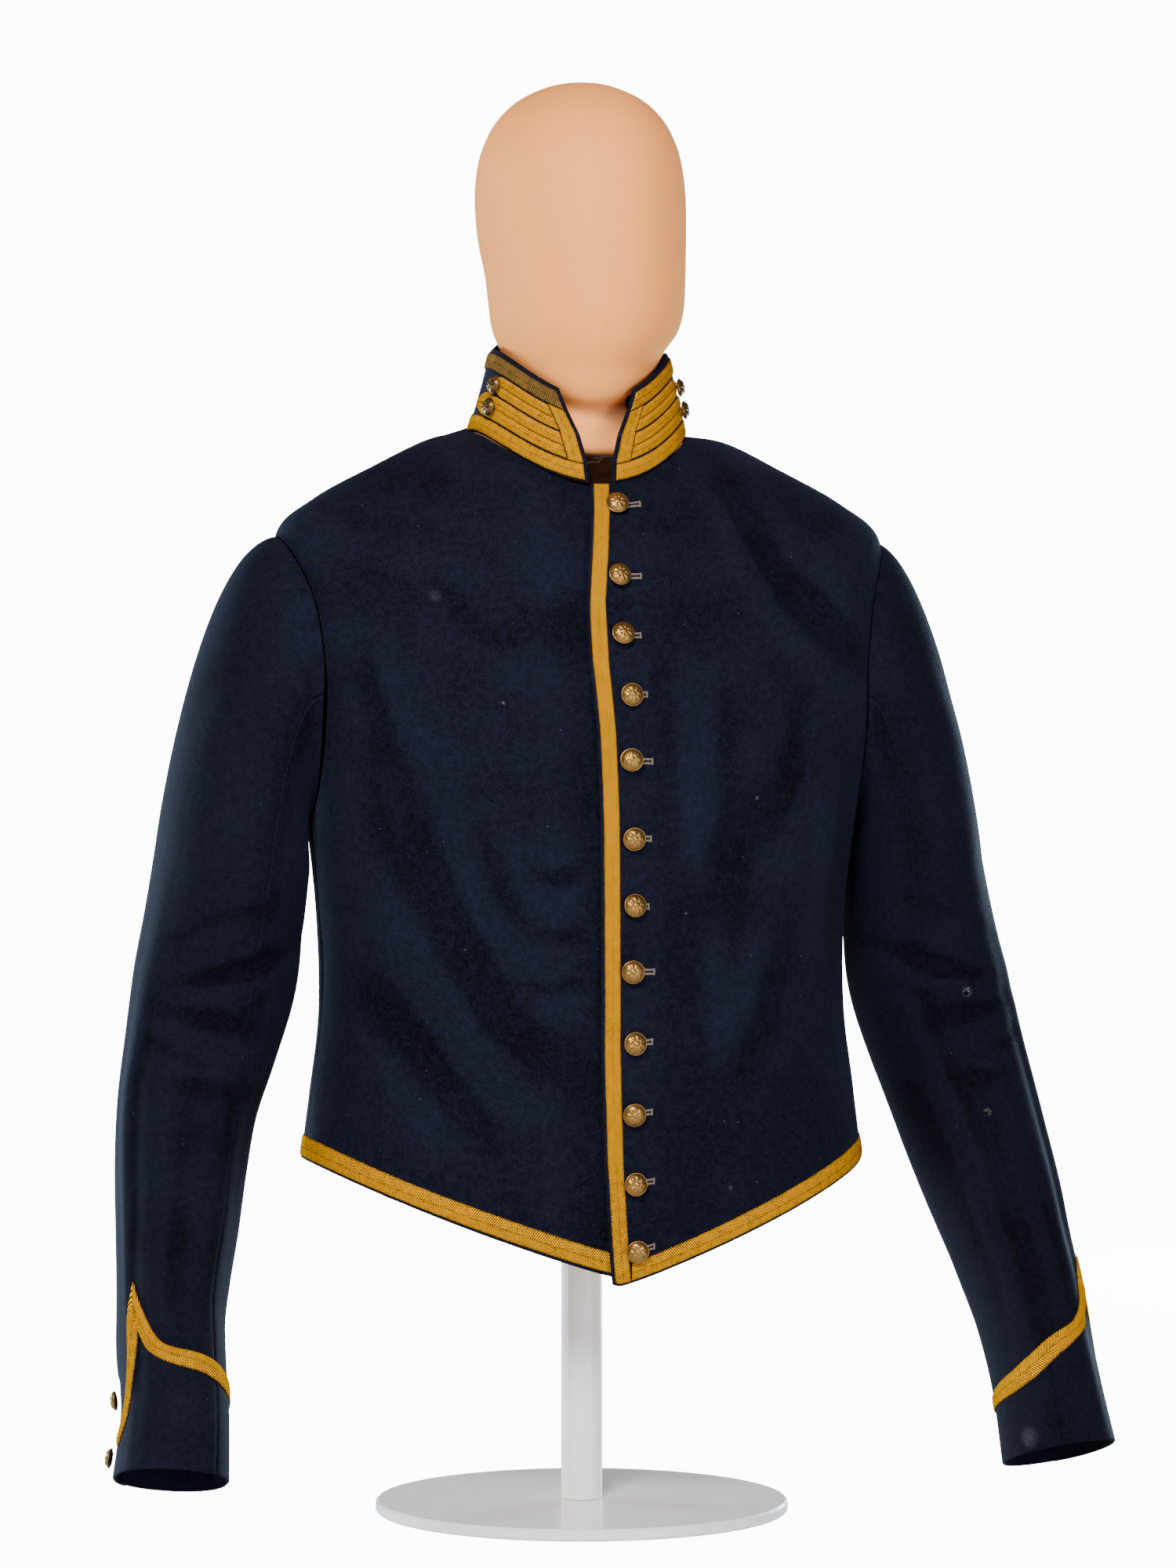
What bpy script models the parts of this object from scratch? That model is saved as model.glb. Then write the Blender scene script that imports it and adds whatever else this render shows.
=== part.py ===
"""Shell jacket on a headed dress form, about 0.67 m wide and 0.97 m high.

The frame has +Z up. The jacket's front faces -Y and its left sleeve hangs at +X. The origin is the
middle of the underside of the stand's base. Tables are in millimetres, and every point that goes into a
mesh is in metres.

The cloth is cut as on the real jacket: two fronts, a back, two-piece sleeves and a standing collar. Each
piece is a thin wall on one shared surface, so that its neighbours meet it at a narrow seam. The lace is
made from the same surface, moved out.
"""
import math
from collections import namedtuple
from functools import lru_cache

import bmesh
import bpy
import numpy as np
from mathutils import Vector

for old_object in list(bpy.data.objects):
    bpy.data.objects.remove(old_object, do_unlink=True)

MM = 0.001

# Cloth and trimming
CLOTH = 2.0
SEAM_GAP = 0.5
SHOULDER_SEAM_GAP = 1.1
SLEEVE_SEAM_GAP = 1.0
LACE_WIDTH = 10.6
LACE_THICKNESS = 0.9
LACE_GAP = 0.35
LACE_INSET = 2.2
CUFF_LACE_GAP = 1.1
BUTTON_RADIUS = 7.75
SMALL_BUTTON_RADIUS = 6.6
BUTTON_GAP = 0.35

# Stand
BASE_RADIUS = 140.0
BASE_HEIGHT = 8.0
POLE_RADIUS = 14.0
STAND_GAP = 0.3

# Sections of the body from hem to neck. front and back are distances from the axis, middle is how far
# forward of it the widest place lies, and square is a superellipse's exponent.
Section = namedtuple("Section", "half_width front back middle square z_front z_side z_back z_power")
BODY_SECTIONS = (
    Section(191, 119, 108, 0, 2.5, 164, 241, 212, 1.15),    # hem
    Section(185, 121, 106, 0, 2.5, 245, 287, 270, 1.5),
    Section(179, 122, 104, 0, 2.5, 322, 340, 332, 2.0),     # waist
    Section(180, 121, 107, -1, 2.6, 398, 403, 400, 2.0),
    Section(186, 119, 111, -2, 2.8, 468, 468, 470, 2.0),    # underarm
    Section(195, 115, 115, -4, 3.0, 525, 545, 546, 2.0),
    Section(203, 109, 117, -5, 2.75, 572, 612, 612, 2.3),
    Section(208, 100, 116, -6, 2.25, 612, 661, 655, 2.35),   # shoulder ends
    Section(182, 91, 112, -9, 2.05, 642, 686, 694, 2.2),
    Section(141, 81, 109, -12, 2.0, 664, 708.5, 722, 2.1),
    Section(102, 71, 104, -15, 2.0, 681, 727.5, 744, 2.0),
    Section(74, 62, 98, -18, 2.0, 693, 732, 757, 2.0),      # neck seam
)
NECK = len(BODY_SECTIONS) - 1

# Where the left front's edge and the right front's hidden edge lie, along the cloth from centre front.
Edge = namedtuple("Edge", "level left right")
FRONT_EDGES = (
    Edge(0, -5, 17), Edge(1, -11, 20), Edge(2, -13, 20), Edge(4, -13, 20), Edge(5, -14.5, 20),
    Edge(6, -18, 20), Edge(7, -18, 20), Edge(8, -14.5, 16), Edge(9.5, -10, 12), Edge(11, -7, 8),
)
EDGE_LIFT = 3.0
EDGE_LIFT_AT_NECK = 0.3
EDGE_LIFT_SPAN = (-8, 62)
UNDERLAP_DROP = 2.7
UNDERLAP_SPAN = (8, 52)
RIGHT_HEM_RISE = 8.0
RIGHT_HEM_SPAN = (0.75, 0.1)
RIGHT_EDGE_COLUMN = 13
LACE_END_DROP = 0.12

# Armhole, on the body surface: its middle and half height in sections, its reach in quarters of the body.
ARMHOLE_MIDDLE = 5.5
ARMHOLE_HALF_HEIGHT = 1.45
ARMHOLE_FRONT_REACH = 0.25
ARMHOLE_BACK_REACH = 0.26
ARMHOLE_STEP = 15

# Largest soft folds of the body. A route's points are (x, z), and a negative depth is a trough.
Fold = namedtuple("Fold", "face depth half_width route")
BODY_FOLDS = (
    Fold("front", -6.0, 24, ((-177, 556), (-150, 477), (-120, 415), (-80, 343), (-32, 300))),
    Fold("front", 3.0, 20, ((-150, 425), (-128, 375), (-100, 325), (-70, 285))),
    Fold("front", -4.0, 18, ((-174, 378), (-131, 322), (-90, 260))),
    Fold("front", -4.5, 16, ((84, 712), (115, 640), (148, 603), (176, 572))),
    Fold("front", -5.0, 24, ((112, 493), (76, 452), (46, 370))),
    Fold("front", 2.5, 16, ((62, 560), (58, 460), (66, 330))),
    Fold("front", -3.5, 18, ((172, 500), (166, 420), (160, 330))),
    Fold("front", -3.0, 26, ((-75, 612), (-40, 596), (-15, 604))),
    Fold("back", -5.0, 24, ((150, 540), (110, 440), (60, 340))),
    Fold("back", -4.0, 22, ((-158, 520), (-120, 430), (-74, 350))),
    Fold("back", -3.5, 20, ((-20, 640), (0, 560), (10, 480))),
)

# Sleeve sections below the armhole: the axis, the width across, the depth fore and aft, and how much
# slimmer the left sleeve is there on its outer side.
Arm = namedtuple("Arm", "outward forward z width depth left_slim")
ARM_SECTIONS = (
    Arm(238, -10, 440, 103, 142, 9),
    Arm(243, -14, 400, 106, 134, 6),
    Arm(249, -16, 360, 109, 126, 3),
    Arm(258, -12, 320, 103, 120, 1),
    Arm(268, -3, 280, 95, 114, 0),
    Arm(275, 18, 242, 89, 108, 0),
    Arm(281, 45, 204, 82, 102, 0),
    Arm(286, 64, 172, 75, 97, 0),
    Arm(290, 83, 143, 70, 94, 0),
    Arm(291, 106, 112, 67, 91, 0),
    Arm(292, 122, 86, 68, 91, 0),
    Arm(296, 134, 48, 73, 93, 0),
)
CUFF = len(ARM_SECTIONS)
SLEEVE_SQUARE = 2.2
SleeveHead = namedtuple("SleeveHead", "spring fall")
SLEEVE_HEADS = {1: SleeveHead(0.42, 0.16), -1: SleeveHead(0.56, 0.04)}
UNDERARM_SPRING = 24
FRONT_SEAM = 105
REAR_SEAM = 300
VENT_LENGTH = 80
VENT_OVERLAP = 11
VENT_LIFT = 3.1
VENT_RADIUS = 42
# How far each sleeve's lower part hangs turned to the front, in degrees, and where the turn begins and ends.
SLEEVE_TURNS = {1: 0, -1: 25}
SLEEVE_TURN_SPAN = (2.2, 5.4)

# Sleeve folds: the angle round the sleeve and the height, each with its spread.
Crease = namedtuple("Crease", "depth angle angle_spread z z_spread slant")
SLEEVE_CREASES = (
    Crease(-3.5, 105, 45, 372, 9, 0.30),
    Crease(-2.5, 80, 40, 338, 8, -0.25),
    Crease(2.0, 95, 45, 355, 8, 0.10),
    Crease(1.8, 22, 11, 300, 120, 0.0),
    Crease(-1.8, 160, 24, 250, 70, 0.0),
    Crease(-2.0, 250, 30, 330, 30, 0.2),
)

# Pointed lace on each cuff: its height above the cuff's edge by the angle round the sleeve.
CuffLace = namedtuple("CuffLace", "angle height")
CUFF_LACES = {
    1: (CuffLace(-30, 20), CuffLace(-15, 28), CuffLace(-7.5, 33), CuffLace(0, 40), CuffLace(7.5, 50),
        CuffLace(15, 64), CuffLace(22.5, 86), CuffLace(30, 112), CuffLace(37.5, 95), CuffLace(45, 83),
        CuffLace(52.5, 75), CuffLace(67.5, 65), CuffLace(90, 56), CuffLace(120, 47), CuffLace(150, 43),
        CuffLace(205, 42), CuffLace(240, 42), CuffLace(277.5, 42)),
    -1: (CuffLace(-30, 22), CuffLace(-22.5, 27), CuffLace(-15, 34), CuffLace(-7.5, 43), CuffLace(0, 57),
         CuffLace(7.5, 78), CuffLace(15, 104), CuffLace(22.5, 87), CuffLace(30, 75), CuffLace(37.5, 68),
         CuffLace(52.5, 62), CuffLace(67.5, 59), CuffLace(90, 57), CuffLace(120, 54), CuffLace(150, 52),
         CuffLace(205, 49), CuffLace(240, 47), CuffLace(277.5, 44)),
}
CUFF_BUTTON_HEIGHTS = (64, 14)
CUFF_BUTTON_ANGLE = -50

# Collar, from the neck seam to its top edge.
Band = namedtuple("Band", "half_width depth middle z_front z_side z_back")
COLLAR_FOOT = Band(74, 80, -18, 693.6, 732.6, 757.6)
COLLAR_TOP = Band(60.5, 61, -9, 752, 788, 812)
COLLAR_STEP = 9
CollarEnd = namedtuple("CollarEnd", "share half_gap")
COLLAR_ENDS = (
    CollarEnd(0, 7.5), CollarEnd(0.25, 8.5), CollarEnd(0.54, 13), CollarEnd(0.81, 21), CollarEnd(1, 25.5),
)
FOOT_LACE = (0.02, 0.205)
LOWER_LOOP = (0.225, 0.495)
UPPER_LOOP = (0.515, 0.745)
TOP_LACE = (0.765, 0.945)
LOOP_POINT_ANGLES = {"lower": 91, "upper": 77}
LOOP_TAPER = 15
COLLAR_LACE_GAP = 0.65
COLLAR_BUTTON_ANGLE = 66

# Buttons down the front: the height of each, and its distance from centre front along the cloth.
FrontButton = namedtuple("FrontButton", "z across")
FRONT_BUTTONS = (
    FrontButton(677, 8), FrontButton(629, 4), FrontButton(590, 4.5), FrontButton(551, 8.5),
    FrontButton(508, 8), FrontButton(457, 8.5), FrontButton(413, 8.5), FrontButton(370, 7.5),
    FrontButton(323, 8.5), FrontButton(277, 8.5), FrontButton(231, 9), FrontButton(187, 11),
)

# Head and neck of the form: half width, reach forward, reach back, height in front, beside and behind, and
# how far it leans to the left.
Head = namedtuple("Head", "half_width front back z_front z_side z_back aside")
HEAD_SECTIONS = (
    Head(56, 44, 80, 699, 735, 763, 0),
    Head(38, 29, 62, 712, 745, 778, 0),
    Head(32.5, 27, 53, 733, 753, 790, 0),
    Head(34, 29, 53, 744, 760, 799, 0),
    Head(43, 43, 56, 750, 768, 809, 1),
    Head(50.5, 50, 60, 758, 777, 817, 1),
    Head(56, 57, 66, 771, 788, 825, 1),
    Head(63, 67, 75, 786, 801, 833, 3),
    Head(66, 76, 85, 806, 817, 843, 4),
    Head(67.5, 81, 93, 832, 839, 854, 3.5),
    Head(70, 84, 98, 862, 863, 868, 1.5),
    Head(71, 85, 101, 888, 888, 888, 0.5),
    Head(69.5, 82, 98, 909, 909, 909, 0),
    Head(65.5, 75, 91, 926, 926, 926, 0),
    Head(57, 63, 78, 943, 943, 943, 0),
    Head(43, 44, 57, 957, 957, 957, 0),
    Head(23, 21, 33, 966.5, 966.5, 966.5, 0),
)
CROWN = (-5, 970)

# How far inside the jacket's outer surface the form lies, by body section.
FormDepth = namedtuple("FormDepth", "level depth")
FORM_DEPTHS = (
    FormDepth(1.2, 26), FormDepth(2, 15), FormDepth(3, 12), FormDepth(4, 11), FormDepth(5, 12),
    FormDepth(6, 12), FormDepth(6.6, 11), FormDepth(7.2, 8), FormDepth(8, 5.0), FormDepth(9, 4.4),
    FormDepth(10, 4.2), FormDepth(11, 4.6),
)
FORM_FOOT = Section(141, 94, 86, 0, 2.3, 188, 218, 208, 1.3)
FORM_FOOT_HEIGHT = 206
FORM_FOOT_RADIUS = 30
FORM_FRONT_DIP = 3
FORM_SIDES = 24

COLOURS = {
    "navy wool": ((0.012, 0.017, 0.035), 0.9, 0.0),
    "gold lace": ((0.62, 0.36, 0.04), 0.7, 0.0),
    "faded lace": ((0.36, 0.25, 0.10), 0.8, 0.0),
    "aged brass": ((0.36, 0.22, 0.09), 0.42, 1.0),
    "jersey": ((0.80, 0.50, 0.31), 0.85, 0.0),
    "black wire": ((0.01, 0.01, 0.01), 0.4, 1.0),
    "white lacquer": ((0.85, 0.85, 0.84), 0.4, 0.0),
}

jacket = bpy.data.collections.new("shell jacket")
bpy.context.scene.collection.children.link(jacket)


def spline(rows, place):
    """Catmull-Rom value of a table's rows at a fractional row number."""
    last = len(rows) - 1
    start = min(max(int(math.floor(place)), 0), last - 1)
    t = place - start
    before = rows[max(start - 1, 0)]
    after = rows[min(start + 2, last)]
    weights = (
        -0.5 * t + t * t - 0.5 * t ** 3,
        1 - 2.5 * t * t + 1.5 * t ** 3,
        0.5 * t + 2 * t * t - 1.5 * t ** 3,
        -0.5 * t * t + 0.5 * t ** 3,
    )
    four = (before, rows[start], rows[start + 1], after)
    return type(rows[0])(*(sum(w * value for w, value in zip(weights, column)) for column in zip(*four)))


def table_value(rows, key, column, value):
    """Straight-line lookup of one column of a table by another."""
    keys = [getattr(row, key) for row in rows]
    return float(np.interp(value, keys, [getattr(row, column) for row in rows]))


def smooth_step(low, high, value):
    t = min(max((value - low) / (high - low), 0.0), 1.0)
    return t * t * (3 - 2 * t)


@lru_cache(maxsize=None)
def quarter(half_width, depth, square):
    """A quarter of a superellipse from its front to its side: arc length, across and along."""
    angle = np.linspace(0, math.pi / 2, 97)
    across = half_width * np.abs(np.sin(angle)) ** (2 / square)
    along = depth * np.abs(np.cos(angle)) ** (2 / square)
    length = np.concatenate(([0], np.cumsum(np.hypot(np.diff(across), np.diff(along)))))
    return length, across, along


def body_quarter(section, behind):
    reach = section.back + section.middle if behind else section.front - section.middle
    return quarter(round(section.half_width, 2), round(reach, 2), round(section.square, 3))


def section_point(section, around):
    """Point of a body section. around is 0 at centre front, 1 at the left side and 2 at centre back."""
    around = (around + 2) % 4 - 2
    side = math.copysign(1, around)
    turn = abs(around)
    behind = turn > 1
    length, across, along = body_quarter(section, behind)
    share = (2 - turn) if behind else turn
    x = float(np.interp(share * length[-1], length, across))
    forward = float(np.interp(share * length[-1], length, along))
    end = section.z_back if behind else section.z_front
    z = end + (section.z_side - end) * (x / section.half_width) ** section.z_power
    return Vector((side * x, -section.middle + (forward if behind else -forward), z))


def distance_to_route(x, z, route):
    """Distance from a point to a route, and how far along the route its nearest place is, 0 to 1."""
    best = (1e9, 0.0)
    point = Vector((x, z))
    for number, (start, end) in enumerate(zip(route, route[1:])):
        start, end = Vector(start), Vector(end)
        leg = end - start
        t = min(max((point - start).dot(leg) / leg.length_squared, 0.0), 1.0)
        best = min(best, ((point - start - leg * t).length, (number + t) / (len(route) - 1)))
    return best


def body_fold_depth(point, around):
    """Sum of the soft folds at a point of the body."""
    face = "front" if abs((around + 2) % 4 - 2) <= 1 else "back"
    total = 0.0
    for fold in BODY_FOLDS:
        if fold.face == face:
            distance, along = distance_to_route(point.x, point.z, fold.route)
            fade = 0.35 + 0.65 * math.sin(math.pi * min(max(along, 0.0), 1.0))
            total += fold.depth * fade * math.exp(-(distance / fold.half_width) ** 2)
    return total * smooth_step(205, 180, abs(point.x))


def body_point(around, level, out=0.0):
    """Point of the jacket's body in millimetres, moved out along its normal."""
    section = spline(BODY_SECTIONS, level)
    point = section_point(section, around)
    step = 0.02
    across = section_point(section, around + step) - section_point(section, around - step)
    low, high = max(level - step, 0), min(level + step, NECK)
    up = (section_point(spline(BODY_SECTIONS, high), around)
          - section_point(spline(BODY_SECTIONS, low), around))
    normal = across.cross(up).normalized()
    return point + normal * (out + body_fold_depth(point, around))


def body_normal(around, level):
    return (body_point(around, level, 1.0) - body_point(around, level)).normalized()


def front_share(across, level):
    """Turns a distance from centre front along the cloth into a share of the front quarter."""
    return across / body_quarter(spline(BODY_SECTIONS, level), False)[0][-1]


def hem_level(around, height):
    """Section number of the place that lies this far above the hem."""
    probe = 0.2
    start = section_point(BODY_SECTIONS[0], around)
    rise = (section_point(spline(BODY_SECTIONS, probe), around) - start).length
    return height * probe / rise


def armhole(angle):
    """Place on the body of the left armhole: angle 0 is its top, 90 its front, 180 its foot."""
    turn = math.radians(angle)
    reach = ARMHOLE_FRONT_REACH if math.sin(turn) > 0 else ARMHOLE_BACK_REACH
    return 1 - reach * math.sin(turn), ARMHOLE_MIDDLE + ARMHOLE_HALF_HEIGHT * math.cos(turn)


def make_material(name):
    colour, roughness, metallic = COLOURS[name]
    material = bpy.data.materials.new(name)
    material.use_nodes = True
    shader = material.node_tree.nodes["Principled BSDF"]
    shader.inputs["Base Color"].default_value = (*colour, 1.0)
    shader.inputs["Roughness"].default_value = roughness
    shader.inputs["Metallic"].default_value = metallic
    material.diffuse_color = (*colour, 1.0)
    return material


def add_object(name, mesh, finish, smooth=True):
    piece = bpy.data.objects.new(name, mesh)
    jacket.objects.link(piece)
    mesh.materials.append(make_material(finish))
    if smooth:
        mesh.shade_smooth()
    return piece


def make_sheet(name, place, columns, rows, finish, thickness=CLOTH, outward=False, flip=False):
    """A grid whose points are put at place(column, row) and which is then given a wall."""
    grid = bmesh.new()
    bmesh.ops.create_grid(grid, x_segments=columns, y_segments=rows, size=1.0)
    for vertex in grid.verts:
        column = round((vertex.co.x + 1) / 2 * columns)
        row = round((vertex.co.y + 1) / 2 * rows)
        vertex.co = place(column, row) * MM
    if flip:
        bmesh.ops.reverse_faces(grid, faces=grid.faces)
    mesh = bpy.data.meshes.new(name)
    grid.to_mesh(mesh)
    grid.free()
    piece = add_object(name, mesh, finish)
    wall = piece.modifiers.new("wall", "SOLIDIFY")
    wall.thickness = thickness * MM
    wall.offset = 1.0 if outward else -1.0
    return piece


# Rows of the fronts and the back: two near the hem that carry the lace, then plain ones, then those of
# the armhole and of the shoulder.
HEM_ROWS = (0, LACE_INSET, LACE_INSET + LACE_WIDTH)
PLAIN_LEVELS = (0.8, 1.5, 2.2, 2.9, 3.5)
ARMHOLE_ANGLES = tuple(range(180, -1, -ARMHOLE_STEP))
SHOULDER_LEVELS = (7.6, 8.6, 9.8, NECK)
BODY_ROWS = len(HEM_ROWS) + len(PLAIN_LEVELS) + len(ARMHOLE_ANGLES) + len(SHOULDER_LEVELS) - 1


def row_level(row, around):
    """Section number of a row of the fronts and the back."""
    if row < len(HEM_ROWS):
        return hem_level(around, HEM_ROWS[row])
    row -= len(HEM_ROWS)
    if row < len(PLAIN_LEVELS):
        return PLAIN_LEVELS[row]
    row -= len(PLAIN_LEVELS)
    if row < len(ARMHOLE_ANGLES):
        return armhole(ARMHOLE_ANGLES[row])[1]
    return SHOULDER_LEVELS[row - len(ARMHOLE_ANGLES)]


def row_side(row, behind):
    """Where a row ends at the side seam, the armhole or the shoulder seam, as a share of the quarter."""
    first = len(HEM_ROWS) + len(PLAIN_LEVELS)
    seam_gap = SEAM_GAP if row < first + len(ARMHOLE_ANGLES) - 1 else SHOULDER_SEAM_GAP
    if first <= row < first + len(ARMHOLE_ANGLES):
        angle = ARMHOLE_ANGLES[row - first]
        place = armhole(-angle if behind else angle)[0]
    else:
        place = 1.0
    gap = 0.5 * seam_gap / body_quarter(spline(BODY_SECTIONS, row_level(row, 1.0)), behind)[0][-1]
    return place + gap if behind else place - gap


FRONT_COLUMNS = 13
LACE_COLUMNS = (1, 2)


def front_column(column, row, side):
    """Place of a front's column in one row, as a share of the quarter, positive on its own side."""
    level = row_level(row, 0.0)
    if side > 0:
        edge = table_value(FRONT_EDGES, "level", "left", level)
        stops = (edge, edge + LACE_INSET, edge + LACE_INSET + LACE_WIDTH)
    else:
        edge = -table_value(FRONT_EDGES, "level", "right", level)
        stops = (edge, edge + RIGHT_EDGE_COLUMN, edge + 2 * RIGHT_EDGE_COLUMN)
    if column < len(stops):
        return front_share(stops[column], level)
    start = front_share(stops[-1], level)
    share = (column - len(stops) + 1) / (FRONT_COLUMNS - len(stops) + 1)
    return start + (row_side(row, False) - start) * share


def front_out(side, place, level):
    """The left front's edge stands off, and the right front dips where it passes under."""
    across = place * body_quarter(spline(BODY_SECTIONS, level), False)[0][-1]
    if side > 0:
        lift = EDGE_LIFT_AT_NECK + (EDGE_LIFT - EDGE_LIFT_AT_NECK) * smooth_step(NECK, NECK - 3, level)
        return lift * (1 - smooth_step(*EDGE_LIFT_SPAN, across))
    return -UNDERLAP_DROP * (1 - smooth_step(*UNDERLAP_SPAN, across))


def front_point(side, column, row, out=0.0, column_shift=0.0, level_shift=0.0):
    """Point of a front at a column and row of its grid, moved out. The right one hangs a little higher."""
    place = front_column(column, row, side) + column_shift
    level = row_level(row, place) + level_shift
    if side < 0 and row < len(HEM_ROWS):
        level += hem_level(place, RIGHT_HEM_RISE * smooth_step(*RIGHT_HEM_SPAN, place))
    return body_point(side * place, level, out + front_out(side, place, level))


def build_fronts():
    for side, name in ((1, "front_left"), (-1, "front_right")):
        make_sheet(name, lambda column, row, side=side: front_point(side, column, row),
                   FRONT_COLUMNS, BODY_ROWS, "navy wool", flip=side < 0)


BACK_COLUMNS = 18


def back_place(column, row):
    side = row_side(row, True)
    return side + (4 - 2 * side) * column / BACK_COLUMNS


def back_point(column, row, out=0.0):
    place = back_place(column, row)
    return body_point(place, row_level(row, place), out)


def build_back():
    make_sheet("back", back_point, BACK_COLUMNS, BODY_ROWS, "navy wool")


def build_body_lace():
    """Lace down the left front's edge and along the hem, on the same rows and columns as the cloth."""
    first, last = LACE_COLUMNS
    out = LACE_GAP
    end_gap = 0.5
    hem_rows = (1, 2)

    def edge_lace(column, row):
        shift = 0.0
        if row == 0:
            return front_point(1, first + column, 1, out)
        if row == BODY_ROWS:
            shift = -LACE_END_DROP
        return front_point(1, first + column, max(row, 2), out, level_shift=shift)

    make_sheet("edge_lace_left", edge_lace, last - first, BODY_ROWS, "gold lace", LACE_THICKNESS,
               outward=True)
    for side, name in ((1, "hem_lace_left"), (-1, "hem_lace_right")):
        start = 2 if side > 0 else 1

        def hem_lace(column, row, side=side, start=start):
            shift = front_share(end_gap, 0.1) if column == 0 else 0.0
            return front_point(side, start + column, hem_rows[row], out, column_shift=shift)

        make_sheet(name, hem_lace, FRONT_COLUMNS - start, 1, "gold lace", LACE_THICKNESS, outward=True,
                   flip=side < 0)
    make_sheet("hem_lace_back", lambda column, row: back_point(column, hem_rows[row], out),
               BACK_COLUMNS, 1, "gold lace", LACE_THICKNESS, outward=True)


def arm_frame(place):
    """Middle of a sleeve section, with its outward, forward and downward directions."""
    arm = spline(ARM_SECTIONS, place)
    step = 0.1
    low = spline(ARM_SECTIONS, max(place - step, 0))
    high = spline(ARM_SECTIONS, min(place + step, CUFF - 1))
    down = Vector((high.outward - low.outward, low.forward - high.forward, high.z - low.z)).normalized()
    outward = Vector((1, 0, 0))
    outward = (outward - down * outward.dot(down)).normalized()
    return arm, Vector((arm.outward, -arm.forward, arm.z)), outward, down.cross(outward), down


def arm_section_point(side, place, angle):
    arm, middle, outward, forward, down = arm_frame(place)
    turn = math.radians(angle)
    power = 2 / SLEEVE_SQUARE
    slim = arm.left_slim if side > 0 else 0.0
    across = math.copysign(abs(math.cos(turn)) ** power, math.cos(turn)) * (arm.width - slim) / 2 - slim / 2
    along = math.copysign(abs(math.sin(turn)) ** power, math.sin(turn)) * arm.depth / 2
    return middle + outward * across + forward * along


def sleeve_surface(side, angle, place):
    """A sleeve's surface at +X: place runs from 0 at the armhole to 1 below it and on to the cuff."""
    if place >= 1:
        return arm_section_point(side, place - 1, angle)
    turn = math.radians(angle)
    start = body_point(*armhole(angle)) + Vector((SEAM_GAP * (1.9 - 0.9 * math.cos(turn)), 0, 0))
    end = arm_section_point(side, 0, angle)
    chord = (end - start).length
    head = SLEEVE_HEADS[side]
    leave = Vector((1, -0.28 * math.sin(turn), -head.fall * (1 + math.cos(turn)))).normalized()
    leave *= max(chord * head.spring, UNDERARM_SPRING)
    arrive = arm_frame(0)[4] * chord
    t = place
    return (start * (2 * t ** 3 - 3 * t * t + 1) + leave * (t ** 3 - 2 * t * t + t)
            + end * (3 * t * t - 2 * t ** 3) + arrive * (t ** 3 - t * t))


def sleeve_crease_depth(angle, z):
    total = 0.0
    for crease in SLEEVE_CREASES:
        turn = (angle - crease.angle + 180) % 360 - 180
        rise = z - crease.z - crease.slant * turn
        total += crease.depth * math.exp(-(turn / crease.angle_spread) ** 2 - (rise / crease.z_spread) ** 2)
    return total


def sleeve_turn(side, place):
    """How far a sleeve's seams and cuff are carried round to the front at a place."""
    return SLEEVE_TURNS[side] * smooth_step(*SLEEVE_TURN_SPAN, place)


def sleeve_point(side, angle, place, out=0.0):
    """Point of a sleeve in millimetres, moved out along its normal. The right one is mirrored."""
    angle += sleeve_turn(side, place)
    point = sleeve_surface(side, angle, place)
    turn, step = 3.0, 0.04
    round_it = sleeve_surface(side, angle + turn, place) - sleeve_surface(side, angle - turn, place)
    low, high = max(place - step, 0), min(place + step, CUFF)
    along = sleeve_surface(side, angle, high) - sleeve_surface(side, angle, low)
    normal = round_it.cross(along).normalized()
    fold = sleeve_crease_depth(angle, point.z) * smooth_step(0.0, 0.6, place)
    point = point + normal * (out + fold)
    return Vector((side * point.x, point.y, point.z))


@lru_cache(maxsize=None)
def cuff_run():
    """Distances above the cuff's edge at even section numbers, from the cuff up."""
    places = np.linspace(CUFF, CUFF - 6, 61)
    middles = [arm_frame(place - 1)[1] for place in places]
    lengths = [0.0]
    for start, end in zip(middles, middles[1:]):
        lengths.append(lengths[-1] + (end - start).length)
    return places, np.array(lengths)


def place_above_cuff(height):
    places, lengths = cuff_run()
    return float(np.interp(height, lengths, places))


CAP_ROWS = 5
ARM_ROW_PLACES = tuple(1 + step for step in (0, 1, 1.7, 2.3, 3, 4, 5, 6, 7, 8, 8.6, 9, 10, 11))
SLEEVE_ROW_PLACES = tuple(row / CAP_ROWS for row in range(CAP_ROWS)) + ARM_ROW_PLACES


VENT_SHARES = (1.0, 0.8, 0.4, 0.1)
VENT_SPREAD = 5
TOP_START = REAR_SEAM - 360


def seam_angle(side, angle, place):
    """Half of the sleeve's seam gap as an angle."""
    angle += sleeve_turn(side, place)
    round_it = sleeve_surface(side, angle + 1, place) - sleeve_surface(side, angle - 1, place)
    low, high = max(place - 0.03, 0), min(place + 0.03, CUFF)
    along = sleeve_surface(side, angle, high) - sleeve_surface(side, angle, low)
    per_degree = round_it.cross(along).length / along.length / 2
    return min(0.5 * SLEEVE_SEAM_GAP / per_degree, ARMHOLE_STEP / 2)


def vent_foot():
    return place_above_cuff(VENT_LENGTH)


def sleeve_angle(column, place, top):
    """Angle of a column. Below the vent's top the first columns of the top piece spread over the under."""
    angle = TOP_START + column * ARMHOLE_STEP
    if top and place > vent_foot():
        angle -= math.degrees(VENT_OVERLAP / VENT_RADIUS) * max(1 - column / VENT_SPREAD, 0)
    return angle


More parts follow.
